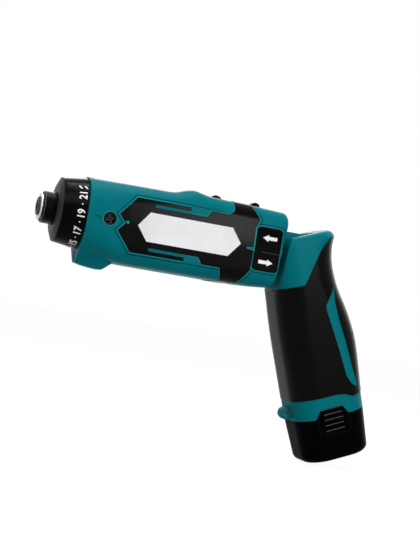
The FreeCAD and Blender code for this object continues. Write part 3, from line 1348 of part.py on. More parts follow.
HANDLE_SCREWS = [
    ("0", f"({Z_STEM_TOP} + block_height + 2 * boss_r)"),
    ("(grip_back + hinge_r) / 2 - boss_r", "-cheek_drop / 2"),
]
HANDLE_SCREW_FACE = "(handle_half_width - handle_corner_r / 3)"
handle_screws = [side_screw(f"handle_screw_{i}", x, z, HANDLE_SCREW_FACE, "handle_screw_length")
                 for i, (x, z) in enumerate(HANDLE_SCREWS)]
handle_holes = [hole for screw, holes in handle_screws for hole in holes]
handle_block = cut("handle_block", joined("handle_lug", handle_form("handle_outer", "0"), lug_round),
                   hinge_clear, hinge_slot, pin_seat, stem_channel, block_pocket, lug_hole, grips["left"],
                   grips["right"], *arches, *handle_holes)


def raked(thing):
    """Set a piece that was drawn upright on the raked handle."""
    thing.Placement.Rotation = Rotation(Vector(0, -1, 0), size("rake"))
    bind(thing, Placement__Base__x=X_HINGE, Placement__Rotation__Angle="rake")
    return thing


keep(raked(shared("handle_left", handle_block, left_half)), "handle_shell_left")
keep(raked(shared("handle_right", handle_block, right_half)), "handle_shell_right")
keep(raked(cut("grip_out_left", grips["left"], *handle_holes)), "handle_grip_left")
keep(raked(cut("grip_out_right", grips["right"], *handle_holes)), "handle_grip_right")
keep(raked(grouped("handle_screw_set", *[screw for screw, holes in handle_screws])), "handle_screws")
keep(rod("hinge_pin_part", "Y", (X_HINGE, "-pin_half_length", "0"), "pin_r", "2 * pin_half_length"),
     "hinge_pin")

# Contacts: blades on the battery stand in slots of the handle's terminal block
BLADES = [f"{index} * blade_pitch" for index in (-1, 0, 1)]


def blade(name, place, grow):
    return block(name, (f"{place} - blade_width / 2 - {grow}", f"-blade_thickness / 2 - {grow}",
                        Z_STEM_TOP),
                 (f"blade_width + 2 * {grow}", f"blade_thickness + 2 * {grow}", f"blade_height + {grow}"))


contact_block = block("contact_block", ("-block_half_length", "-block_half_width",
                                        f"{Z_STEM_TOP} + part_gap"),
                      ("2 * block_half_length", "2 * block_half_width", "block_height"))
keep(raked(cut("block_part", contact_block, *[blade(f"slot_{i}", place, "blade_clearance")
                                              for i, place in enumerate(BLADES)])), "terminal_block")

# Battery

Z_CASE = "(-handle_bottom - battery_gap)"
Z_BASE = f"({Z_CASE} - battery_height)"
battery_sections = [(level, rounded(f"-foot_front + {inset}", f"foot_back - 2 * {inset}",
                                    f"-handle_half_width + {inset}", f"handle_half_width - {inset}",
                                    "handle_corner_r"))
                    for level, inset in ((Z_CASE, "0"), (Z_BASE, "battery_draft"))]
battery_form = lofted("battery_form", "XY_Plane", battery_sections)
doc.recompute()
base_face = min(battery_form.Shape.Faces, key=lambda face: face.CenterOfMass.z)
battery_round = doc.addObject("Part::Fillet", "battery_round")
battery_round.Base = battery_form
battery_round.Edges = [(number, size("battery_foot_r"), size("battery_foot_r"))
                       for number, edge in enumerate(battery_form.Shape.Edges, 1)
                       if any(edge.isSame(other) for other in base_face.Edges)]
CELL_PITCH = "(cell_r + cell_clearance + stem_wall / 4)"
cell_bores = [rod(f"cell_bore_{name}", "Z", (f"{sign}{CELL_PITCH}", "0", Z_CELL), "cell_r + cell_clearance",
                  "cell_length + cell_nub + part_gap") for name, sign in (("front", "-"), ("back", ""))]


keep(raked(cut("case_shell", battery_round, *cell_bores, *arches)), "battery_case")
stem_box = stem_form("stem_box", "0", Z_CASE, Z_STEM_TOP)
keep(raked(cut("stem_part", stem_box, *cell_bores)), "battery_stem")
cells_made = []
for name, sign in (("front", "-"), ("back", "")):
    can = rod(f"cell_can_{name}", "Z", (f"{sign}{CELL_PITCH}", "0", Z_CELL), "cell_r", "cell_length")
    nub = rod(f"cell_nub_{name}", "Z", (f"{sign}{CELL_PITCH}", "0", Z_CELL), "cell_nub_r",
              "cell_length + cell_nub")
    cells_made.append(joined(f"cell_{name}", can, nub))
keep(raked(grouped("cell_set", *cells_made)), "battery_cells")
keep(raked(grouped("blade_set", *[blade(f"blade_{i}", place, "0") for i, place in enumerate(BLADES)])),
     "battery_terminals")
for side, sign in (("left", "-"), ("right", "")):
    plate = button(f"button_plate_{side}", side, "0", "button_thickness")
    ribs_made = [rod(f"button_rib_{side}_{i}", "X",
                     (f"{X_BUTTON} + button_length * (1 - button_rib_share) / 2", f"{sign}{Y_BUTTON}",
                      f"{Z_BUTTON_TOP} - ({i} + 1) * button_rib_pitch"), "button_rib_r",
                     "button_length * button_rib_share")
                 for i in range(int(size("button_rib_count")))]
    keep(raked(joined(f"button_part_{side}", plate, *ribs_made)), f"battery_button_{side}")

# Every object has to be sound before anything is written
doc.recompute()
faults = [thing.Label for thing in doc.Objects if {"Invalid", "Error"} & set(thing.State)]
faults += [piece.Label for piece in pieces if piece.Shape.isNull() or not piece.Shape.isValid()]
if faults:
    raise RuntimeError("not sound: " + ", ".join(faults))
os.makedirs("parts", exist_ok=True)
for piece in pieces:
    piece.Shape.exportStep(f"parts/{piece.Label}.step")
    print(f"{piece.Label}: {len(piece.Shape.Solids)} solids, {piece.Shape.Volume:.1f} mm3")
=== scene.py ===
# %% [markdown]
# # An electric screwdriver, dressed over its CAD frame
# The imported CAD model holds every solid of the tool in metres: nose towards -X, top towards +Z, and the
# side that the photograph shows towards -Y. This lesson loads it, sets the photograph's camera, writes one
# finish for each material of the tool, and then adds the small visible things that CAD leaves out.

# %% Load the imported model
import json
from math import cos, radians, sin

import bpy
import bmesh
from mathutils import Matrix, Vector
from mathutils.bvhtree import BVHTree


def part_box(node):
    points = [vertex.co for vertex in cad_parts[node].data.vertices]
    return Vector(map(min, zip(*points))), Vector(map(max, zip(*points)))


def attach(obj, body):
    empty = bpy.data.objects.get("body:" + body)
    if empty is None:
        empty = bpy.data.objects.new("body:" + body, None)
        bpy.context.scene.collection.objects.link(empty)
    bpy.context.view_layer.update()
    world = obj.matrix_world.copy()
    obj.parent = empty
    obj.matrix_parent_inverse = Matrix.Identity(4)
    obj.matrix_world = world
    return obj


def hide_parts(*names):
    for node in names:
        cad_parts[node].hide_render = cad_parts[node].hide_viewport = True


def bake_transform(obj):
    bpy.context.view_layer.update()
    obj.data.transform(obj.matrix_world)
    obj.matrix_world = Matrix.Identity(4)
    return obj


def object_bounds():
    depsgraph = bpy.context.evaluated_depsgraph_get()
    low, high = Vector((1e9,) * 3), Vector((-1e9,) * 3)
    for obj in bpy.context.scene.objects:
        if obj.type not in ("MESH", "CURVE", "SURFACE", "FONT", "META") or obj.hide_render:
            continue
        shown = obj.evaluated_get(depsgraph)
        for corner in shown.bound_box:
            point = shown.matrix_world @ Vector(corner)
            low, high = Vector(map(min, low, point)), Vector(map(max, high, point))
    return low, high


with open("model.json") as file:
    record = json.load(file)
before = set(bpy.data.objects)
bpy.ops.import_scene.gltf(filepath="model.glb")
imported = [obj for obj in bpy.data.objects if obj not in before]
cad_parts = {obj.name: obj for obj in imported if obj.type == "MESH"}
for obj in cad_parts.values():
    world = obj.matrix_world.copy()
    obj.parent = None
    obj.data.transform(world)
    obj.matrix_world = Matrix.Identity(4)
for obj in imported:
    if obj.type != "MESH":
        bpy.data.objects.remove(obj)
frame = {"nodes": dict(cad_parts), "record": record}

MM = 0.001
cad_low, cad_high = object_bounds()
body_of = {node: body for body, nodes in frame["record"]["behaviour"]["bodies"].items() for node in nodes}
print("nodes", len(frame["nodes"]), "box in mm", [round(v / MM, 1) for v in (*cad_low, *cad_high)])

# %% [markdown]
# ## Camera
# Where the photographer stood was worked out from the photograph itself: the screw, the label's corners,
# the ring's edge and the battery's corners are known points of the tool, and one place explains all their
# pixels. A camera can be aimed with a constraint, but a matrix made from its three axes keeps the roll
# exact as well.

# %% Set the camera
PHOTO_HEIGHT, FOCAL_PIXELS = 560, 1197.4
SENSOR = 36
DISTANCE = 0.7
look_at = Vector((107.07, 0, -24.78)) * MM
azimuth, elevation, roll = radians(-17.62), radians(-1.93), radians(9.083)
back = Vector((sin(azimuth) * cos(elevation), -cos(azimuth) * cos(elevation), sin(elevation)))
right = Vector((cos(azimuth), sin(azimuth), 0))
up = back.cross(right)
turned_right = right * cos(roll) + up * sin(roll)
turned_up = up * cos(roll) - right * sin(roll)
lens = bpy.data.cameras.new("camera")
lens.sensor_width, lens.lens = SENSOR, FOCAL_PIXELS / PHOTO_HEIGHT * SENSOR
lens.clip_start = 0.01
camera = bpy.data.objects.new("camera", lens)
camera.matrix_world = Matrix.Translation(look_at + back * DISTANCE) @ Matrix(
    (turned_right, turned_up, back)).transposed().to_4x4()
bpy.context.scene.collection.objects.link(camera)
bpy.context.scene.camera = camera
bpy.context.scene.view_settings.view_transform = "Standard"
print("camera at", [round(v, 3) for v in camera.matrix_world.translation], "lens", round(lens.lens, 1))

# %% [markdown]
# ## Shader sums in Python
# A finish is a small tree of shader nodes. Wiring them one by one hides the idea, so a socket is wrapped in
# a class whose + - * add the Math nodes, and one method makes every other kind of node.

# %% The socket class and the finish class
class Value:
    """One output of a shader node, on which Python's operators work."""

    def __init__(self, finish, socket):
        self.finish, self.socket = finish, socket

    def maths(self, operation, first, second):
        """A Math node on two values or numbers."""
        return self.finish.node("ShaderNodeMath", {"operation": operation}, {0: first, 1: second})

    def __add__(self, other):
        return self.maths("ADD", self, other)

    def __radd__(self, other):
        return self.maths("ADD", other, self)

    def __sub__(self, other):
        return self.maths("SUBTRACT", self, other)

    def __rsub__(self, other):
        return self.maths("SUBTRACT", other, self)

    def __mul__(self, other):
        return self.maths("MULTIPLY", self, other)

    def __rmul__(self, other):
        return self.maths("MULTIPLY", other, self)


CORNER_SAMPLES = 6
EDGE_START, EDGE_FULL = 0.01, 0.12


class Finish:
    """A material with one Principled shader, fed by expressions."""

    def __init__(self, name, tree=None):
        if tree is None:
            self.material = bpy.data.materials.new(name)
            self.material.use_nodes = True
            tree = self.material.node_tree
        self.tree = tree
        self.shader = tree.nodes.get("Principled BSDF")

    def node(self, kind, settings=None, sockets=None, output=0):
        """Any node: its type, its settings, and the values or links of its sockets."""
        made = self.tree.nodes.new(kind)
        for key, setting in (settings or {}).items():
            setattr(made, key, setting)
        for key, value in (sockets or {}).items():
            self.feed(made.inputs[key], value)
        return Value(self, made.outputs[output])

    def feed(self, socket, value):
        """Links a value to a socket, or sets the socket where the value is a plain one."""
        if isinstance(value, Value):
            self.tree.links.new(value.socket, socket)
        else:
            socket.default_value = value

    def set(self, **sockets):
        """Feeds the shader's own sockets, named with _ for each space."""
        for key, value in sockets.items():
            self.feed(self.shader.inputs[key.replace("_", " ")], value)

    def place(self):
        """Where a point lies on the unmoved piece."""
        return self.node("ShaderNodeTexCoord", output="Object")

    def noise(self, size, detail=2.0):
        """A soft random value from 0 to 1, whose lumps are about size across, in metres."""
        return self.node("ShaderNodeTexNoise", None,
                         {"Vector": self.place(), "Scale": 1 / size, "Detail": detail, "Roughness": 0.55})

    def limited(self, value, low, high):
        """0 at low, 1 at high, and straight between them."""
        return self.node("ShaderNodeMapRange", {"clamp": True},
                         {"Value": value, "From Min": low, "From Max": high, "To Min": 0.0, "To Max": 1.0})

    def mixed(self, share, first, second):
        """A colour between two colours."""
        return self.node("ShaderNodeMix", {"data_type": "RGBA"}, {0: share, 6: first, 7: second}, output=2)

    def rounded_normal(self, radius):
        """The surface's direction with its corners softened, as every moulded corner is."""
        return self.node("ShaderNodeBevel", {"samples": CORNER_SAMPLES}, {"Radius": radius})

    def edges(self, radius):
        """1 on a corner of the piece and 0 away from it."""
        flat = self.node("ShaderNodeNewGeometry", output="Normal")
        dot = self.node("ShaderNodeVectorMath", {"operation": "DOT_PRODUCT"},
                        {0: flat, 1: self.rounded_normal(radius)}, output="Value")
        return self.limited(1 - dot, EDGE_START, EDGE_FULL)

    def bumped(self, height, depth, normal, strength=1.0):
        """The direction of a surface that rises by depth, in metres, where the height is 1."""
        return self.node("ShaderNodeBump", None,
                         {"Height": height, "Distance": depth, "Strength": strength, "Normal": normal})


print("shader classes ready")

# %% [markdown]
# ## Floor, backdrop and light
# The tool was photographed as a cut-out on white. The world is white to the camera and to mirror-like rays,
# and a plain grey to the rest, so that white isn't bought with more light on the tool. The floor is part
# glow and part paint: enough glow to stay white, enough paint to keep a faint shadow.

# %% World and floor paint
def seen_directly(finish):
    """1 for rays that the camera, a gloss or clear plastic sends out, 0 for the light's own rays."""
    camera_ray, glossy_ray, clear_ray = (finish.node("ShaderNodeLightPath", output=name) for name in
                                         ("Is Camera Ray", "Is Glossy Ray", "Is Transmission Ray"))
    seen = camera_ray + glossy_ray + clear_ray
    return finish.node("ShaderNodeMath", {"operation": "MINIMUM"}, {0: seen, 1: 1.0})


WHITE, PALE_BLUE, GREY = (1, 1, 1, 1), (0.95, 0.98, 1, 1), (0.4, 0.4, 0.4, 1)
FILL_LIGHT = 0.25
FLOOR_GLOW, GLOW_SHARE = 1.18, 0.79
world = bpy.data.worlds.new("studio")
world.use_nodes = True
bpy.context.scene.world = world
sky = Finish("studio", world.node_tree)
dim = sky.node("ShaderNodeBackground", None, {"Color": PALE_BLUE, "Strength": FILL_LIGHT})
bright = sky.node("ShaderNodeBackground", None, {"Color": WHITE, "Strength": 1.0})
backdrop = sky.node("ShaderNodeMixShader", None, {0: seen_directly(sky), 1: dim, 2: bright})
sky.feed(world.node_tree.nodes["World Output"].inputs["Surface"], backdrop)

floor_finish = Finish("floor_paint")
floor_finish.set(Base_Color=GREY, Roughness=0.6 + 0.1 * floor_finish.noise(0.2))
paint = Value(floor_finish, floor_finish.shader.outputs[0])
glow = floor_finish.node("ShaderNodeEmission", None, {"Color": WHITE, "Strength": FLOOR_GLOW})
share = GLOW_SHARE * seen_directly(floor_finish)
floor_look = floor_finish.node("ShaderNodeMixShader", None, {0: share, 1: paint, 2: glow})
floor_finish.feed(floor_finish.tree.nodes["Material Output"].inputs["Surface"], floor_look)
print("world and floor paint ready")

# %% [markdown]
# A wide white board lies under the tool and carries its faint shadow. A grid makes it, and it takes its
# place in its mesh and not by moving the object, because a pattern on Object coordinates would slide with
# the object.

# %% Lay the floor
FLOOR_HALF, FLOOR_MIDDLE, FLOOR_GAP = 6, 0.1, 0.5 * MM
floor_height = cad_low[2] - FLOOR_GAP
bm = bmesh.new()
bmesh.ops.create_grid(bm, x_segments=8, y_segments=8, size=FLOOR_HALF)
bmesh.ops.translate(bm, verts=bm.verts, vec=(FLOOR_MIDDLE, 0, floor_height))
floor_mesh = bpy.data.meshes.new("floor")
bm.to_mesh(floor_mesh)
bm.free()
floor = bpy.data.objects.new("floor", floor_mesh)
floor_mesh.materials.append(floor_finish.material)
bpy.context.scene.collection.objects.link(floor)
print("floor at", round(floor_height / MM, 1), "mm")

# %% [markdown]
# ## Lamps
# The photograph's gloss shows a broad lamp above and to the left of the camera, a long one above the tool,
# which draws the bright line along the ring's top, and weak ones low on the left and behind on the right,
# which light the edges of the grip. A smaller lamp to the right of the camera fills the front, and one
# behind the tool lights the side that the photograph doesn't show, so that it can be looked at from there
# too.

# %% Hang the lamps
def lamp(name, place, aim, width, height, power):
    """A flat lamp of a width and height in metres, at a place, turned towards its aim."""
    light = bpy.data.lights.new(name, "AREA")
    light.shape, light.size, light.size_y, light.energy = "RECTANGLE", width, height, power
    holder = bpy.data.objects.new(name, light)
    place, aim = Vector(place), Vector(aim)
    turn = (aim - place).to_track_quat("-Z", "Y").to_matrix().to_4x4()
    holder.matrix_world = Matrix.Translation(place) @ turn
    bpy.context.scene.collection.objects.link(holder)


lamp("key_lamp", place=(-0.25, -0.75, 0.75), aim=(0.1, 0, -0.02), width=0.6, height=0.6, power=4.6)
lamp("front_lamp", place=(0.43, -0.9, 0.19), aim=(0.1, 0, -0.02), width=0.3, height=0.18, power=3.2)
lamp("left_lamp", place=(-0.75, -0.45, 0.05), aim=(0.1, 0, -0.03), width=0.2, height=0.8, power=0.25)
lamp("rim_lamp", place=(0.75, 0.35, 0.25), aim=(0.12, 0, -0.03), width=0.25, height=0.8, power=0.8)
lamp("top_lamp", place=(0.12, 0, 0.9), aim=(0.1, 0, 0), width=0.6, height=0.22, power=4.7)
lamp("back_lamp", place=(0.25, 0.9, 0.5), aim=(0.1, 0, -0.02), width=0.7, height=0.5, power=4)

# %% [markdown]
# ## Finishes
# Moulded plastic isn't one flat colour: its pigment drifts slightly, its spark-eroded mould leaves a fine
# grain, and handling polishes its corners. The corners are painted lighter, partly as that wear and partly
# as a painted highlight. One recipe gives all of that, and each plastic of the tool sets its own colour,
# gloss and grain.

# %% Housing, rubber and battery
DRIFT_SIZE, DRIFT_TONES = 18 * MM, (0.93, 1.05)
finishes = {}


def moulded(name, colour, wear_and_highlight, roughness, grain, depth,
            corner=0.35 * MM, level=0.5, wear_and_highlight_share=0.5, specks=0.0):
    """A plastic: colour, edge colour (wear and painted highlight), gloss, and the grain's size and depth.
    """
    finish = Finish(name)
    drift = finish.noise(DRIFT_SIZE, 3)
    speck = finish.noise(grain, 1)
    edge = finish.edges(corner)
    darker, lighter = ((*[part * share for part in colour], 1) for share in DRIFT_TONES)
    tone = finish.mixed(finish.limited(drift, 0.3, 0.7), darker, lighter)
    # Edges take the lighter colour: partly wear, partly a painted highlight. Specks are random grain.
    tone = finish.mixed(edge * wear_and_highlight_share + finish.limited(speck, 0.5, 0.75) * specks, tone, (*wear_and_highlight, 1))
    finish.set(Base_Color=tone,
               Roughness=roughness + 0.12 * (speck - 0.5) + 0.06 * (drift - 0.5) - 0.08 * edge,
               Normal=finish.bumped(speck, depth, finish.rounded_normal(corner)),
               Specular_IOR_Level=level)
    finishes[name] = finish


moulded("teal_plastic", (0.0, 0.15, 0.178), wear_and_highlight=(0.02, 0.3, 0.34), roughness=0.42,
        grain=0.5 * MM, depth=0.006 * MM, corner=0.5 * MM, level=0.03, wear_and_highlight_share=0.7)
moulded("black_rubber", (0.0003, 0.0003, 0.0003), wear_and_highlight=(0.03, 0.03, 0.03), roughness=0.26,
        grain=0.55 * MM, depth=0.012 * MM, level=0.05, specks=0.04)
moulded("black_plastic", (0.0006, 0.0006, 0.0007), wear_and_highlight=(0.03, 0.03, 0.031), roughness=0.36,
        grain=0.4 * MM, depth=0.006 * MM, level=0.015)
moulded("gloss_black", (0.0006, 0.0006, 0.0007), wear_and_highlight=(0.04, 0.04, 0.042), roughness=0.18,
        grain=3 * MM, depth=0.004 * MM, level=0.03)
moulded("battery_black", (0.0006, 0.0006, 0.0006), wear_and_highlight=(0.05, 0.05, 0.05), roughness=0.34,
        grain=0.5 * MM, depth=0.005 * MM, level=0.008)
moulded("satin_black", (0.02, 0.02, 0.021), wear_and_highlight=(0.12, 0.12, 0.125), roughness=0.45,
        grain=0.3 * MM, depth=0.004 * MM, corner=0.5 * MM, level=0.1, wear_and_highlight_share=0.8)
print("housing", sorted(finishes))

# %% [markdown]
# Trim and print are thin, so their corners stay sharp. The label's film is pale and smooth, and the screws'
# black coat wears off along every edge that a driver touches; their pale steel edges are partly that wear
# and partly a painted highlight. The upper faces of the battery buttons' ribs are a lighter grey, which is
# a painted highlight. The grooves and the housing's mark are dark teal, painted shade; the rims, the seam
# and the rocker's fold line are lighter, painted highlight.

# %% Trim, print and screws
THIN = {"grain": 0.3 * MM, "depth": 0.003 * MM, "corner": 0.02 * MM}
# Painted shade: a flat dark teal stands for the grooves beside the rubber.
moulded("groove_shade", (0.0, 0.022, 0.027), wear_and_highlight=(0.0, 0.03, 0.036), roughness=0.6, level=0.02, **THIN)
# Painted highlight: a lighter teal for the seam above the screw.
moulded("seam_highlight", (0.004, 0.21, 0.24), wear_and_highlight=(0.004, 0.21, 0.24), roughness=0.5, level=0.02, **THIN)
# Painted shade: a dark teal for the housing's moulded mark.
moulded("mark_shade", (0.0, 0.045, 0.055), wear_and_highlight=(0.0, 0.045, 0.055), roughness=0.6, level=0.02, **THIN)
# Painted highlight: a grey line along the rocker's fold.
moulded("fold_highlight", (0.03, 0.03, 0.031), wear_and_highlight=(0.05, 0.05, 0.05), roughness=0.5, level=0.05, **THIN)
moulded("white_ink", (0.88, 0.88, 0.87), wear_and_highlight=(0.7, 0.7, 0.7), roughness=0.55, level=0.2, **THIN)
# Painted highlight: a lighter teal for the rims, the screw pocket's ring and the notch patch.
moulded("teal_highlight", (0.005, 0.24, 0.27), wear_and_highlight=(0.05, 0.4, 0.43), roughness=0.38,
        grain=0.5 * MM, depth=0.004 * MM, corner=0.2 * MM, level=0.05)
moulded("label_film", (0.78, 0.785, 0.79), wear_and_highlight=(0.45, 0.45, 0.46), roughness=0.35,
        grain=1.5 * MM, depth=0.004 * MM, level=0.2)
moulded("label_edge", (0.05, 0.05, 0.052), wear_and_highlight=(0.1, 0.1, 0.1), roughness=0.5,
        grain=0.5 * MM, depth=0.004 * MM, level=0.1)
# Painted highlight: a lighter grey for the upper faces of the battery buttons' ribs.
moulded("rib_highlight", (0.09, 0.09, 0.09), wear_and_highlight=(0.2, 0.2, 0.2), roughness=0.3,
        grain=0.5 * MM, depth=0.004 * MM, level=0.1)
moulded("blackened", (0.001, 0.001, 0.001), wear_and_highlight=(0.6, 0.57, 0.54), roughness=0.4,
        grain=0.3 * MM, depth=0.006 * MM, corner=0.2 * MM, level=0.01, wear_and_highlight_share=0.9)
print("with trim", len(finishes))

# %% [markdown]
# Inside the housing there are milky nylon gears, lacquered boards, film-wrapped cells and ferrite magnets.
# The same recipe makes them, because they too are moulded, coated or pressed in one colour.

# %% Pieces inside the tool
moulded("gear_nylon", (0.62, 0.6, 0.54), wear_and_highlight=(0.7, 0.68, 0.62), roughness=0.45,
        grain=0.6 * MM, depth=0.01 * MM)
moulded("circuit", (0.02, 0.16, 0.06), wear_and_highlight=(0.1, 0.2, 0.1), roughness=0.35,
        grain=1.2 * MM, depth=0.01 * MM)
moulded("cell_wrap", (0.06, 0.2, 0.45), wear_and_highlight=(0.1, 0.25, 0.5), roughness=0.3,
        grain=3 * MM, depth=0.01 * MM)
moulded("magnet", (0.05, 0.05, 0.055), wear_and_highlight=(0.09, 0.09, 0.09), roughness=0.7,
        grain=0.3 * MM, depth=0.02 * MM)
print("with the inside", len(finishes))

# %% [markdown]
# Metals take their look from their reflection: the colour goes to the metal's own tint, and fine turning
# marks round the X axis break the gloss up, because most metal pieces here are turned or drawn along that
# axis.

# %% Metals
WAVE_LENGTH = 0.31
STAIN_SIZE, STAIN_TONES = 6 * MM, (0.85, 1.1)


def metal(name, colour, wear_and_highlight, roughness, mark=0.12 * MM, depth=0.002 * MM, corner=0.3 * MM):
    """A metal: tint, edge tint (wear and painted highlight), gloss, and width and depth of turning marks.
    """
    finish = Finish(name)
    marks = finish.node("ShaderNodeTexWave", {"wave_type": "BANDS", "bands_direction": "X"},
                        {"Vector": finish.place(), "Scale": WAVE_LENGTH / mark,
                         "Distortion": 3.0, "Detail": 2.0})
    stain = finish.noise(STAIN_SIZE, 3)
    edge = finish.edges(corner)
    darker, lighter = ((*[min(1, part * share) for part in colour], 1) for share in STAIN_TONES)
    tone = finish.mixed(stain, darker, lighter)
    # Edges take the paler tint: partly wear, partly a painted highlight.
    finish.set(Base_Color=finish.mixed(0.85 * edge, tone, (*wear_and_highlight, 1)),
               Metallic=1.0, Roughness=roughness + 0.15 * (stain - 0.5) + 0.06 * marks,
               Normal=finish.bumped(marks, depth, finish.rounded_normal(corner), 0.5))
    finishes[name] = finish


metal("dark_steel", (0.003, 0.003, 0.0034), wear_and_highlight=(0.45, 0.45, 0.46), roughness=0.36, corner=0.4 * MM)
metal("steel", (0.5, 0.5, 0.51), wear_and_highlight=(0.7, 0.7, 0.7), roughness=0.28)
metal("bronze", (0.45, 0.29, 0.13), wear_and_highlight=(0.6, 0.42, 0.22), roughness=0.4)
metal("case_alloy", (0.5, 0.5, 0.52), wear_and_highlight=(0.65, 0.65, 0.66), roughness=0.45)
metal("winding", (0.42, 0.17, 0.07), wear_and_highlight=(0.55, 0.28, 0.13), roughness=0.35)
metal("copper", (0.6, 0.4, 0.16), wear_and_highlight=(0.75, 0.55, 0.3), roughness=0.25)
print("with metals", len(finishes))

# %% [markdown]
# The work lamp's window is clear, but behind it lies a dark recess, so it reads as a dark slit in the chin.
# It's made as a nearly black plastic that lets a little light through: that near-black is painted shade of
# the recess.

# %% Lamp window
clear = Finish("clear_lens")
dark, less_dark = (0.004, 0.005, 0.006, 1), (0.012, 0.014, 0.015, 1)
clear.set(Base_Color=clear.mixed(clear.noise(3 * MM), dark, less_dark),
          Transmission_Weight=0.1, IOR=1.49, Specular_IOR_Level=0.0,
          Roughness=0.1 + 0.1 * clear.noise(2 * MM), Normal=clear.rounded_normal(0.3 * MM))
finishes["clear_lens"] = clear
print("finishes", len(finishes))

# %% [markdown]
# ## Dressing the CAD nodes
# A CAD node comes as loose triangles. Pieces inside the tool only need their finish. Pieces that show get a
# merged copy, smooth where the surface curves and crisp where two faces meet, which then stands for the
# node.

# %% Which finish each node wears
slot_of = {part["node"]: part["material_slot"] for part in frame["record"]["subparts"]}
finish_of = dict(slot_of, battery_case="battery_black", battery_button_left="battery_black",
                 battery_button_right="battery_black")
for node, piece in frame["nodes"].items():
    piece.data.materials.clear()
    piece.data.materials.append(finishes[finish_of[node]].material)
print("without a finish:", sorted(set(frame["nodes"]) - set(finish_of)))

# %% [markdown]
# The pieces that show are the mouldings and turned parts that a hand can touch. Triangles that share no
# corners can't be shaded smooth, so a copy of each is welded first. Crisp edges are then marked by their
# angle, as Blender's own Shade Auto Smooth does it, but in the mesh, which leaves no modifier behind.

# %% Copies for the pieces that show
WELD, CREASE = 0.002 * MM, 32


def smooth_by_angle(bm):
    """Shades a mesh smooth, and crisp where faces meet at the crease's angle, in degrees, or more."""
    for face in bm.faces:
        face.smooth = True
    for edge in bm.edges:
        edge.smooth = edge.calc_face_angle(0) < radians(CREASE)


def finished(name, bm, finish, slot, body, *nodes):
    """Makes a piece of its bmesh, with its finish, its body, if any, and the nodes it stands for."""
    mesh = bpy.data.meshes.new(name)
    bm.to_mesh(mesh)
    bm.free()
    piece = bpy.data.objects.new(name, mesh)
    bpy.context.scene.collection.objects.link(piece)
    mesh.materials.append(finishes[finish].material)
    if body:
        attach(piece, body)
    if nodes:
        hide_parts(*nodes)
    return piece


def copied(node):
    """The node's CAD mesh with its loose triangles merged and its round faces smooth."""
    bm = bmesh.new()
    bm.from_mesh(frame["nodes"][node].data)
    bmesh.ops.remove_doubles(bm, verts=bm.verts, dist=WELD)
    smooth_by_angle(bm)
    return bm


shown = ("spindle bit_sleeve sleeve_clip torque_ring head_shell_left head_shell_right head_grip_left "
         "head_grip_right switch_rocker speed_lever lock_button lamp_lens handle_shell_left "
         "handle_shell_right handle_grip_left handle_grip_right battery_case battery_button_left "
         "battery_button_right label_plate hinge_pin").split()
dressed = {}
for node in shown:
    dressed[node] = finished("dressed_" + node, copied(node), finish_of[node], slot_of[node],
                             body_of[node], node)
print("dressed", len(dressed), "pieces,",
      sum(len(piece.data.polygons) for piece in dressed.values()), "triangles")

# %% [markdown]
# Some pieces wear a second finish: the ring's nose is satin where its drum shines, the label plate's cut
# edge is dark, and the upper side of the battery buttons' ribs is a lighter grey, a painted highlight.
# Cutting a piece in two for that would leave it open, so chosen faces take a second material slot.

# %% Second finishes
FACING = 0.6


def repainted(node, finish, chosen):
    """Gives a second finish to the faces whose direction is chosen, and says how many they are."""
    mesh = dressed[node].data
    mesh.materials.append(finishes[finish].material)
    faces = [face for face in mesh.polygons if chosen(face.normal)]
    for face in faces:
        face.material_index = 1
    return len(faces)


ring_nose = repainted("torque_ring", "satin_black", lambda way: way.x < -FACING)
label_edge = repainted("label_plate", "label_edge", lambda way: way.y > -FACING)
# The ribs' upward faces get the lighter grey: a painted highlight.
ribs = [repainted("battery_button_" + side, "rib_highlight", lambda way: way.z > FACING)
        for side in ("left", "right")]
print("repainted triangles: ring nose", ring_nose, "label edge", label_edge, "button ribs", ribs)

# %% [markdown]
# ## Ink that follows a surface
# The dial's numbers and the rocker's arrows are pad-printed: a soft pad carries flat artwork on to a curved
# face. The same happens here. Artwork is drawn flat, given a little thickness, and every corner then
# follows its own ray to the surface below, so that the ink lies on the piece as a closed skin and rides
# with it.

# %% Draw and cut flat artwork
INK = 0.05 * MM
POINT_WELD, TRIANGLE_SIZES = 0.001 * MM, (2.4 * MM, 1.2 * MM)


def outline(*corners):
    """A flat shape from its corners, in mm."""
    bm = bmesh.new()
    bm.faces.new([bm.verts.new((x * MM, y * MM, 0)) for x, y in corners])
    return bm


def tree_of(node):
    """The dressed piece's surface, ready for rays."""
    bm = bmesh.new()
    bm.from_mesh(dressed[node].data)
    tree = BVHTree.FromBMesh(bm)
    bm.free()
    return tree


def cut_small(flat):
    """Cuts flat artwork into triangles that are small enough to follow a curve."""
    bmesh.ops.remove_doubles(flat, verts=flat.verts, dist=POINT_WELD)
    bmesh.ops.triangulate(flat, faces=flat.faces)
    for size in TRIANGLE_SIZES:
        long_edges = [edge for edge in flat.edges if edge.calc_length() > size]
        bmesh.ops.subdivide_edges(flat, edges=long_edges, cuts=1)
        bmesh.ops.triangulate(flat, faces=flat.faces)


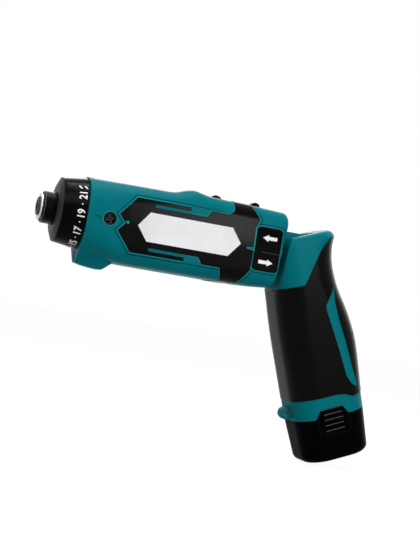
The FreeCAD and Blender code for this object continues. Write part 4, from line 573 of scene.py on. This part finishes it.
def unfolded(flat):
    """Takes out, smallest first, triangles that lie folded over a neighbour or hang on by a corner."""
    flat.normal_update()
    bmesh.ops.reverse_faces(flat, faces=[face for face in flat.faces if face.normal.z < 0])
    while True:
        bmesh.ops.delete(flat, geom=[edge for edge in flat.edges if edge.is_wire], context="EDGES")
        bmesh.ops.delete(flat, geom=[vert for vert in flat.verts if not vert.link_edges], context="VERTS")
        crowds = [edge.link_faces for edge in flat.edges if not edge.is_boundary and not edge.is_contiguous]
        pinched = [vert for vert in flat.verts if sum(edge.is_boundary for edge in vert.link_edges) > 2]
        crowds += [vert.link_faces for vert in pinched]
        if not crowds:
            return
        smallest = dict.fromkeys(min(faces, key=lambda face: face.calc_area()) for faces in crowds)
        bmesh.ops.delete(flat, geom=list(smallest), context="FACES")


def thickened(flat, height):
    """Makes flat artwork a closed skin, from just under the surface to a height above it."""
    grown = bmesh.ops.extrude_face_region(flat, geom=flat.faces[:])["geom"]
    lifted = [item for item in grown if isinstance(item, bmesh.types.BMVert)]
    bmesh.ops.translate(flat, verts=lifted, vec=(0, 0, height + INK))
    bmesh.ops.translate(flat, verts=flat.verts, vec=(0, 0, -INK))


print("ink", INK / MM, "mm each way from the surface")

# %% [markdown]
# A printing pad comes down in one direction. Blender's Shrinkwrap modifier would move each point to the
# nearest surface instead, which bends a sign near an edge. A ray cast through a tree of the piece's
# triangles keeps the pad's direction, and tells which points miss the piece or would only graze it.

# %% Lay flat artwork on a piece
OUTSIDE, GRAZING = 60 * MM, 0.25


def added(target, bm):
    """Adds one bmesh to another."""
    mesh = bpy.data.meshes.new("added")
    bm.to_mesh(mesh)
    bm.free()
    target.from_mesh(mesh)
    bpy.data.meshes.remove(mesh)


def laid(target, flat, ray, tree, height=INK):
    """Adds artwork to the target: each flat point follows its ray to the surface, or is cut off."""
    def landing(vert):
        start, way = ray(vert.co.x, vert.co.y)
        spot, normal = tree.ray_cast(start, way)[:2]
        return (spot, normal) if spot and normal.dot(way) < -GRAZING else None

    cut_small(flat)
    missed = [vert for vert in flat.verts if not landing(vert)]
    bmesh.ops.delete(flat, geom=missed, context="VERTS")
    unfolded(flat)
    thickened(flat, height)
    for vert in flat.verts:
        spot, normal = landing(vert)
        vert.co = spot + normal * vert.co.z
    if flat.calc_volume(signed=True) < 0:
        bmesh.ops.reverse_faces(flat, faces=flat.faces)
    added(target, flat)


print("rays start", OUTSIDE / MM, "mm out")

# %% [markdown]
# ## Torque ring numbers
# The clutch ring is turned until a number stands at the mark on the housing. Every odd step has its number
# and every even one a dot, 14.6 degrees apart per step, and past the last step comes the drill sign, at
# which the clutch is locked. A font gives the digits; they're squeezed to the narrow, heavy look of dial
# numbers.

# %% Draw digits
BOLDNESS = 0.02


def digits(text, height, width_share):
    """Flat digits of a height, centred on the origin and squeezed to a share of their width."""
    curve = bpy.data.curves.new("digits", "FONT")
    curve.body, curve.offset = text, BOLDNESS
    holder = bpy.data.objects.new("digits", curve)
    bpy.context.scene.collection.objects.link(holder)
    mesh = bpy.data.meshes.new_from_object(holder.evaluated_get(bpy.context.evaluated_depsgraph_get()))
    bm = bmesh.new()
    bm.from_mesh(mesh)
    bpy.data.objects.remove(holder)
    bpy.data.curves.remove(curve)
    bpy.data.meshes.remove(mesh)
    low, high = ([pick(vert.co[axis] for vert in bm.verts) for axis in (0, 1)] for pick in (min, max))
    scale = height / (high[1] - low[1])
    for vert in bm.verts:
        vert.co.x = (vert.co.x - (low[0] + high[0]) / 2) * scale * width_share
        vert.co.y = (vert.co.y - (low[1] + high[1]) / 2) * scale
    return bm


print("digits thickened by", BOLDNESS, "of their size")

# %% [markdown]
# The pad rolls round the ring while it prints. Flat x becomes an angle and flat y runs towards the nose, so
# each sign only needs the angle of its step. The steps count from the one that stands at the mark.

# %% Print the ring
RING_RADIUS, PRINT_X = 20.5 * MM, 21.7 * MM
DIGIT_HEIGHT, DIGIT_WIDTH, DOT_RADIUS = 4.4 * MM, 0.95, 0.4 * MM
STEP, STEPS = radians(14.6), 21
MARK_ANGLE, AT_MARK = radians(-3.2), 19
DRILL_ANGLE = MARK_ANGLE + radians(46)
DRILL_STROKE = ((-1.3, -0.9), (-0.5, -0.9), (1.3, 0.5), (1.3, 0.9), (0.5, 0.9), (-1.3, -0.5))
STROKE_SHIFTS = -1.5, 1.5


def on_ring(angle):
    """The ray for artwork centred at an angle: flat x runs round the ring, flat y towards the nose."""
    def ray(x, y):
        turn = angle + x / RING_RADIUS
        outward = Vector((0, -cos(turn), sin(turn)))
        return Vector((PRINT_X - y, 0, 0)) + outward * OUTSIDE, -outward
    return ray


ring_skin = bmesh.new()
ring_tree = tree_of("torque_ring")
for number in range(1, STEPS + 1):
    if number % 2:
        sign = digits(str(number), DIGIT_HEIGHT, DIGIT_WIDTH)
    else:
        sign = bmesh.new()
        bmesh.ops.create_circle(sign, cap_ends=True, segments=20, radius=DOT_RADIUS)
    laid(ring_skin, sign, on_ring(MARK_ANGLE + (number - AT_MARK) * STEP), ring_tree)
for shift in STROKE_SHIFTS:
    stroke = outline(*[(x, y + shift) for x, y in DRILL_STROKE])
    laid(ring_skin, stroke, on_ring(DRILL_ANGLE), ring_tree)
ring_print = finished("ring_print", ring_skin, "white_ink", "label_film", "torque_ring")
print("ring print", len(ring_print.data.polygons), "triangles")

# %% [markdown]
# ## Rocker arrows and the mark on the housing
# Two white arrows say which way the bit turns: the upper half of the rocker drives in, the lower half backs
# out. A ridge splits the halves for the thumb; a thin grey line along it is a painted highlight. The
# housing has a small moulded mark that the ring's numbers turn past, drawn in dark teal, which is painted
# shade.

# %% Print the rocker and the housing
LEFT, RIGHT = -1, 1


def from_side(side, centre_x=0, centre_z=0, way=1):
    """The ray for artwork on one side: flat x runs along the tool, flat y upwards."""
    def ray(x, y):
        return Vector((centre_x * MM + way * x, side * OUTSIDE, centre_z * MM + y)), Vector((0, -side, 0))
    return ray


UPPER_ARROW, LOWER_ARROW = (131.4, 3.5), (130.7, -10.5)
ARROW = ((-4.35, 0), (-0.9, 1.95), (-0.9, 1), (4.35, 1), (4.35, -1), (-0.9, -1), (-0.9, -1.95))
arrows = bmesh.new()
rocker_tree = tree_of("switch_rocker")
laid(arrows, outline(*ARROW), from_side(LEFT, *UPPER_ARROW), rocker_tree)
laid(arrows, outline(*ARROW), from_side(LEFT, *LOWER_ARROW, way=-1), rocker_tree)
rocker_arrows = finished("rocker_arrows", arrows, "white_ink", "label_film", "rocker")

LINE_MIDDLE = 131, -4.85
HALVES_LINE = ((-7.6, -0.22), (7.6, -0.22), (7.6, 0.22), (-7.6, 0.22))
halves = bmesh.new()
laid(halves, outline(*HALVES_LINE), from_side(LEFT, *LINE_MIDDLE), rocker_tree)
# The grey line along the fold is a painted highlight.
rocker_fold_highlight = finished("rocker_fold_highlight", halves, "fold_highlight", "black_plastic", "rocker")

MARK_MIDDLE = 30.7, -1
HOOK_MARK = ((-1.8, 0.2), (1.8, 0.2), (1.8, -1.6), (1.35, -1.6), (1.35, -0.2), (-1.8, -0.2))
hook = bmesh.new()
shell_tree = tree_of("head_shell_left")
laid(hook, outline(*HOOK_MARK), from_side(LEFT, *MARK_MIDDLE), shell_tree)
# The mark's dark teal is painted shade.
housing_mark = finished("housing_mark", hook, "mark_shade", "black_plastic", "head")
print({piece.name: len(piece.data.polygons) for piece in (rocker_arrows, rocker_fold_highlight, housing_mark)})

# %% [markdown]
# ## Seam of the nose insert
# A faint round seam shows on the teal above the screw, where two parts of the mould met. It is drawn as
# a lighter teal arc, a painted highlight along the seam. An edge that spins about a centre draws such an
# arc, which is then laid on the housing like ink.

# %% Draw the seam
SEAM_MIDDLE, SEAM_RADII = (28, -2.06), (11.78, 12.05)
SEAM_START, SEAM_SWEEP = radians(28), radians(70)
seam = bmesh.new()
inner, outer = (seam.verts.new((radius * MM, 0, 0)) for radius in SEAM_RADII)
rung = seam.edges.new((inner, outer))
bmesh.ops.rotate(seam, verts=seam.verts, matrix=Matrix.Rotation(SEAM_START, 3, "Z"))
bmesh.ops.spin(seam, geom=[inner, outer, rung], axis=(0, 0, 1), cent=(0, 0, 0), angle=SEAM_SWEEP, steps=24)
seam_skin = bmesh.new()
laid(seam_skin, seam, from_side(LEFT, *SEAM_MIDDLE), shell_tree)
# The seam's lighter teal is a painted highlight.
nose_seam = finished("nose_seam", seam_skin, "seam_highlight", "teal_plastic", "head")
print("seam", len(nose_seam.data.polygons), "triangles")

# %% [markdown]
# ## Rims and grooves beside the rubber
# Rubber is moulded on to the housing in a second shot. A raised rim of the housing stops it from creeping
# out, and a groove beside the rim hides the joint. Both follow the rubber's outline, so it's taken from the
# rubber itself: there its front meets its wall at a sharp edge. Each such edge, pushed outwards, is
# extruded to a band and laid on the shell. The rim is a low band of lighter teal, which is a painted
# highlight; the groove is a flat band of dark teal, which is painted shade, not a cut. The rocker has a rim
# and a groove of its own, the screw's pocket a thin lighter ring, and a small teal patch fills the notch at
# the panel's front; the ring and the patch are the same painted highlight.

# %% Bands beside an outline
WALL_TILT, FRONT_TILT = 0.06, 0.35
PANEL_RIM, PANEL_GROOVE = (0.15, 0.6), (1.15, 1.55)
POCKET_X, POCKET_Z = (52, 116), (-10.8, 6)
SLOTS_X, SLOTS_Z = (52, 84), (-17.5, 12.7)
TABS_X = 83, 116


def band(node, side, near, far, chosen):
    """A flat band between two distances, in mm, from the sharp outer edge of a piece."""
    bm = bmesh.new()
    bm.from_mesh(dressed[node].data)
    bm.normal_update()
    out = bm.verts.layers.float_vector.new("out")
    ways, kept = {}, set()
    for edge in bm.edges:
        walls = [face.normal for face in edge.link_faces if abs(face.normal.y) < WALL_TILT]
        fronts = [face for face in edge.link_faces if face.normal.y * side > FRONT_TILT]
        if len(walls) == len(fronts) == 1 and chosen((edge.verts[0].co + edge.verts[1].co) / 2 / MM):
            kept.add(edge)
            for vert in edge.verts:
                ways.setdefault(vert, []).append(walls[0].copy())
    for vert, normals in ways.items():
        mitre = sum(normals, Vector())
        mitre = mitre * (2 / mitre.length_squared) if len(normals) == 2 else mitre
        vert[out] = (mitre.x, mitre.z, 0)
    bmesh.ops.delete(bm, geom=[edge for edge in bm.edges if edge not in kept], context="EDGES")
    bmesh.ops.delete(bm, geom=[vert for vert in bm.verts if not vert.link_edges], context="VERTS")
    for vert in bm.verts:
        vert.co = Vector((vert.co.x, vert.co.z, 0)) + vert[out] * near * MM
    grown = bmesh.ops.extrude_edge_only(bm, edges=bm.edges[:])["geom"]
    for item in grown:
        if isinstance(item, bmesh.types.BMVert):
            item.co += item[out] * (far - near) * MM
    return bm


def within(value, ends):
    """True between two ends."""
    return ends[0] < value < ends[1]


def on_rim(spot):
    """True on the rubber panel's outer outline, and not in the label's pocket or the two slots."""
    in_pocket = within(spot.x, POCKET_X) and within(spot.z, POCKET_Z)
    in_slot = within(spot.x, SLOTS_X) and within(spot.z, SLOTS_Z)
    return not in_pocket and not in_slot


def on_groove(spot):
    """True where a groove follows that outline; beside the tabs the grooves run straight."""
    return on_rim(spot) and not within(spot.x, TABS_X)


def flat_ring(inner, outer):
    """A flat ring between two radii in mm."""
    bm = bmesh.new()
    for radius in (inner, outer):
        bmesh.ops.create_circle(bm, segments=64, radius=radius * MM)
    bmesh.ops.bridge_loops(bm, edges=bm.edges)
    return bm


print("rim and groove of a panel, mm from the rubber:", PANEL_RIM, PANEL_GROOVE)

# %% [markdown]
# Both sides of the housing come from mirrored moulds, so one loop lays the same rims and grooves on each.
# Beside the panel's tabs the groove runs straight, as a line of its own. The ring round the screw needs the
# screw's place, which is read from the CAD screw: walking from corner to corner of its welded mesh finds
# each separate solid.

# %% Lay the rims and grooves
ROCKER_RIM, ROCKER_GROOVE = (0.5, 1.0), (1.5, 1.85)
SCREW_RIM = 3.8, 4.15
RIM_HEIGHT, SCREW_RIM_HEIGHT = 0.2 * MM, 0.1 * MM
NOTCH_PATCH = ((46.1, -1.2), (46.35, -2.75), (48.5, -2.4), (48.25, -0.9))
TAB_START, TAB_HALF = 82.5, 0.2
TAB_LINES = ((14.25, 104.5, 13.6), (-18.85, 104, -19))


def middles(node):
    """The middle of each separate solid of a CAD node, as its x and z in mm."""
    bm = copied(node)
    waiting = dict.fromkeys(bm.verts)
    places = []
    while waiting:
        reached = [waiting.popitem()[0]]
        for vert in reached:
            for edge in vert.link_edges:
                other = edge.other_vert(vert)
                if other in waiting:
                    del waiting[other]
                    reached.append(other)
        middle = sum((vert.co for vert in reached), Vector()) / len(reached) / MM
        places.append((middle.x, middle.z))
    bm.free()
    return places


rims, grooves = bmesh.new(), bmesh.new()
for side, name in ((LEFT, "left"), (RIGHT, "right")):
    grip, tree, ray = "head_grip_" + name, tree_of("head_shell_" + name), from_side(side)
    laid(rims, band(grip, side, *PANEL_RIM, on_rim), ray, tree, RIM_HEIGHT)
    laid(grooves, band(grip, side, *PANEL_GROOVE, on_groove), ray, tree)
    for z_start, x_end, z_end in TAB_LINES:
        line = outline((TAB_START, z_start - TAB_HALF), (x_end, z_end - TAB_HALF),
                       (x_end, z_end + TAB_HALF), (TAB_START, z_start + TAB_HALF))
        laid(grooves, line, ray, tree)
for target, reach, height in ((rims, ROCKER_RIM, RIM_HEIGHT), (grooves, ROCKER_GROOVE, INK)):
    round_rocker = band("switch_rocker", LEFT, *reach, lambda spot: True)
    laid(target, round_rocker, from_side(LEFT), shell_tree, height)
# The ring round the screw's pocket and the notch patch are lighter teal: painted highlight.
for place in middles("nose_screw"):
    laid(rims, flat_ring(*SCREW_RIM), from_side(LEFT, *place), shell_tree, SCREW_RIM_HEIGHT)
laid(rims, outline(*NOTCH_PATCH), from_side(LEFT), tree_of("head_grip_left"))
# Rims in lighter teal are painted highlight; grooves in dark teal are painted shade.
panel_rims = finished("panel_rims", rims, "teal_highlight", "teal_plastic", "head")
panel_grooves = finished("panel_grooves", grooves, "groove_shade", "black_plastic", "head")
print("rims", len(panel_rims.data.polygons), "grooves", len(panel_grooves.data.polygons), "triangles")

# %% [markdown]
# ## Screws
# A cross-head screw closes the nose behind the ring, and six smaller ones hold the two halves of head and
# handle together from the right. A cross can't be turned on a lathe, so the head starts as a flat outline:
# bridged to a circle it is the top of the head, its middle is pushed in for the driver, and the circle
# grows into shoulder, wall and shank.

# %% Model a cross-head screw
ARM, WEB = 0.585, 0.157
QUARTER = ((ARM, -WEB), (ARM, WEB), (WEB, WEB))
TURNS = ((1, 0), (0, 1), (-1, 0), (0, -1))
CROSS = [(x * cosine - y * sine, x * sine + y * cosine) for cosine, sine in TURNS for x, y in QUARTER]
FLAT_SHARE, SHOULDER = 0.86, 0.1
RECESS, RECESS_TAPER = 0.43, 0.62


def pushed(bm, edges, scale, depth):
    """Extrudes a loop of edges, scales and sinks the new loop, and gives it back."""
    new = bmesh.ops.extrude_edge_only(bm, edges=edges)["geom"]
    verts = [item for item in new if isinstance(item, bmesh.types.BMVert)]
    bmesh.ops.scale(bm, verts=verts, vec=(scale, scale, 1))
    bmesh.ops.translate(bm, verts=verts, vec=(0, 0, -depth * MM))
    edges = [item for item in new if isinstance(item, bmesh.types.BMEdge)]
    return [edge for edge in edges if all(vert in verts for vert in edge.verts)]


def cross_screw(radius, head, shank, length):
    """A screw that looks along +Z, with the top of its head at 0; sizes in mm."""
    bm = outline(*[(radius * x, radius * y) for x, y in CROSS])
    cross = bm.edges[:]
    bmesh.ops.delete(bm, geom=bm.faces[:], context="FACES_ONLY")
    verts = bmesh.ops.create_circle(bm, segments=48, radius=radius * FLAT_SHARE * MM)["verts"]
    rim = [edge for edge in bm.edges if all(vert in verts for vert in edge.verts)]
    bmesh.ops.bridge_loops(bm, edges=cross + rim)
    bmesh.ops.edgeloop_fill(bm, edges=pushed(bm, cross, RECESS_TAPER, RECESS * radius))
    shoulder = pushed(bm, rim, 1 / FLAT_SHARE, SHOULDER * radius)
    under = pushed(bm, shoulder, 1, head - SHOULDER * radius)
    neck = pushed(bm, under, shank / radius, 0)
    bmesh.ops.edgeloop_fill(bm, edges=pushed(bm, neck, 1, length - head))
    bmesh.ops.recalc_face_normals(bm, faces=bm.faces)
    return bm


print("a cross of", len(CROSS), "corners")

# %% [markdown]
# A driver stops when the screw is tight, and hardly ever with the cross upright, so each screw is turned a
# little. Its place and its length come from the CAD screw that it stands for.

# %% Put the screws in
SMALL_SCREW, LARGE_SCREW = (2.2, 1.8, 1.25), (3.5, 2, 1.3)
TIGHTENED = radians(15)


def screws(node, side, sizes):
    """Screws of one size that look out of one side, in the places of a node's plain ones."""
    low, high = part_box(node)
    face = low[1] if side == LEFT else high[1]
    whole = bmesh.new()
    for x, z in middles(node):
        screw = cross_screw(*sizes, (high[1] - low[1]) / MM)
        bmesh.ops.rotate(screw, verts=screw.verts, matrix=Matrix.Rotation(TIGHTENED, 3, "Z"))
        bmesh.ops.rotate(screw, verts=screw.verts, matrix=Matrix.Rotation(radians(-90 * side), 3, "X"))
        bmesh.ops.translate(screw, verts=screw.verts, vec=(x * MM, face, z * MM))
        added(whole, screw)
    smooth_by_angle(whole)
    piece = finished("cross_" + node, whole, "blackened", "dark_steel", body_of[node], node)
    print(piece.name, len(piece.data.polygons), "faces")


screws("nose_screw", LEFT, LARGE_SCREW)
screws("housing_screws", RIGHT, SMALL_SCREW)
screws("handle_screws", RIGHT, SMALL_SCREW)

# %% [markdown]
# ## Springs
# Two coil springs work inside the nose. One pushes the bit sleeve back, the other presses on the clutch,
# harder as the ring turns the seat in. A coil that rides on one body would poke into the other when that
# one moves. Here each coil is copied with its finish, put on no body, and its place is baked into its mesh.

# %% Copy the springs
PRESSED_BY = {"sleeve_spring": ("spindle", "bit_sleeve"), "clutch_spring": ("clutch_seat", "head")}
for node, (front, rear) in PRESSED_BY.items():
    coil = finished("giving_" + node, copied(node), finish_of[node], slot_of[node], None, node)
    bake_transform(coil)
    print(coil.name, len(coil.data.polygons), "triangles between", front, "and", rear)
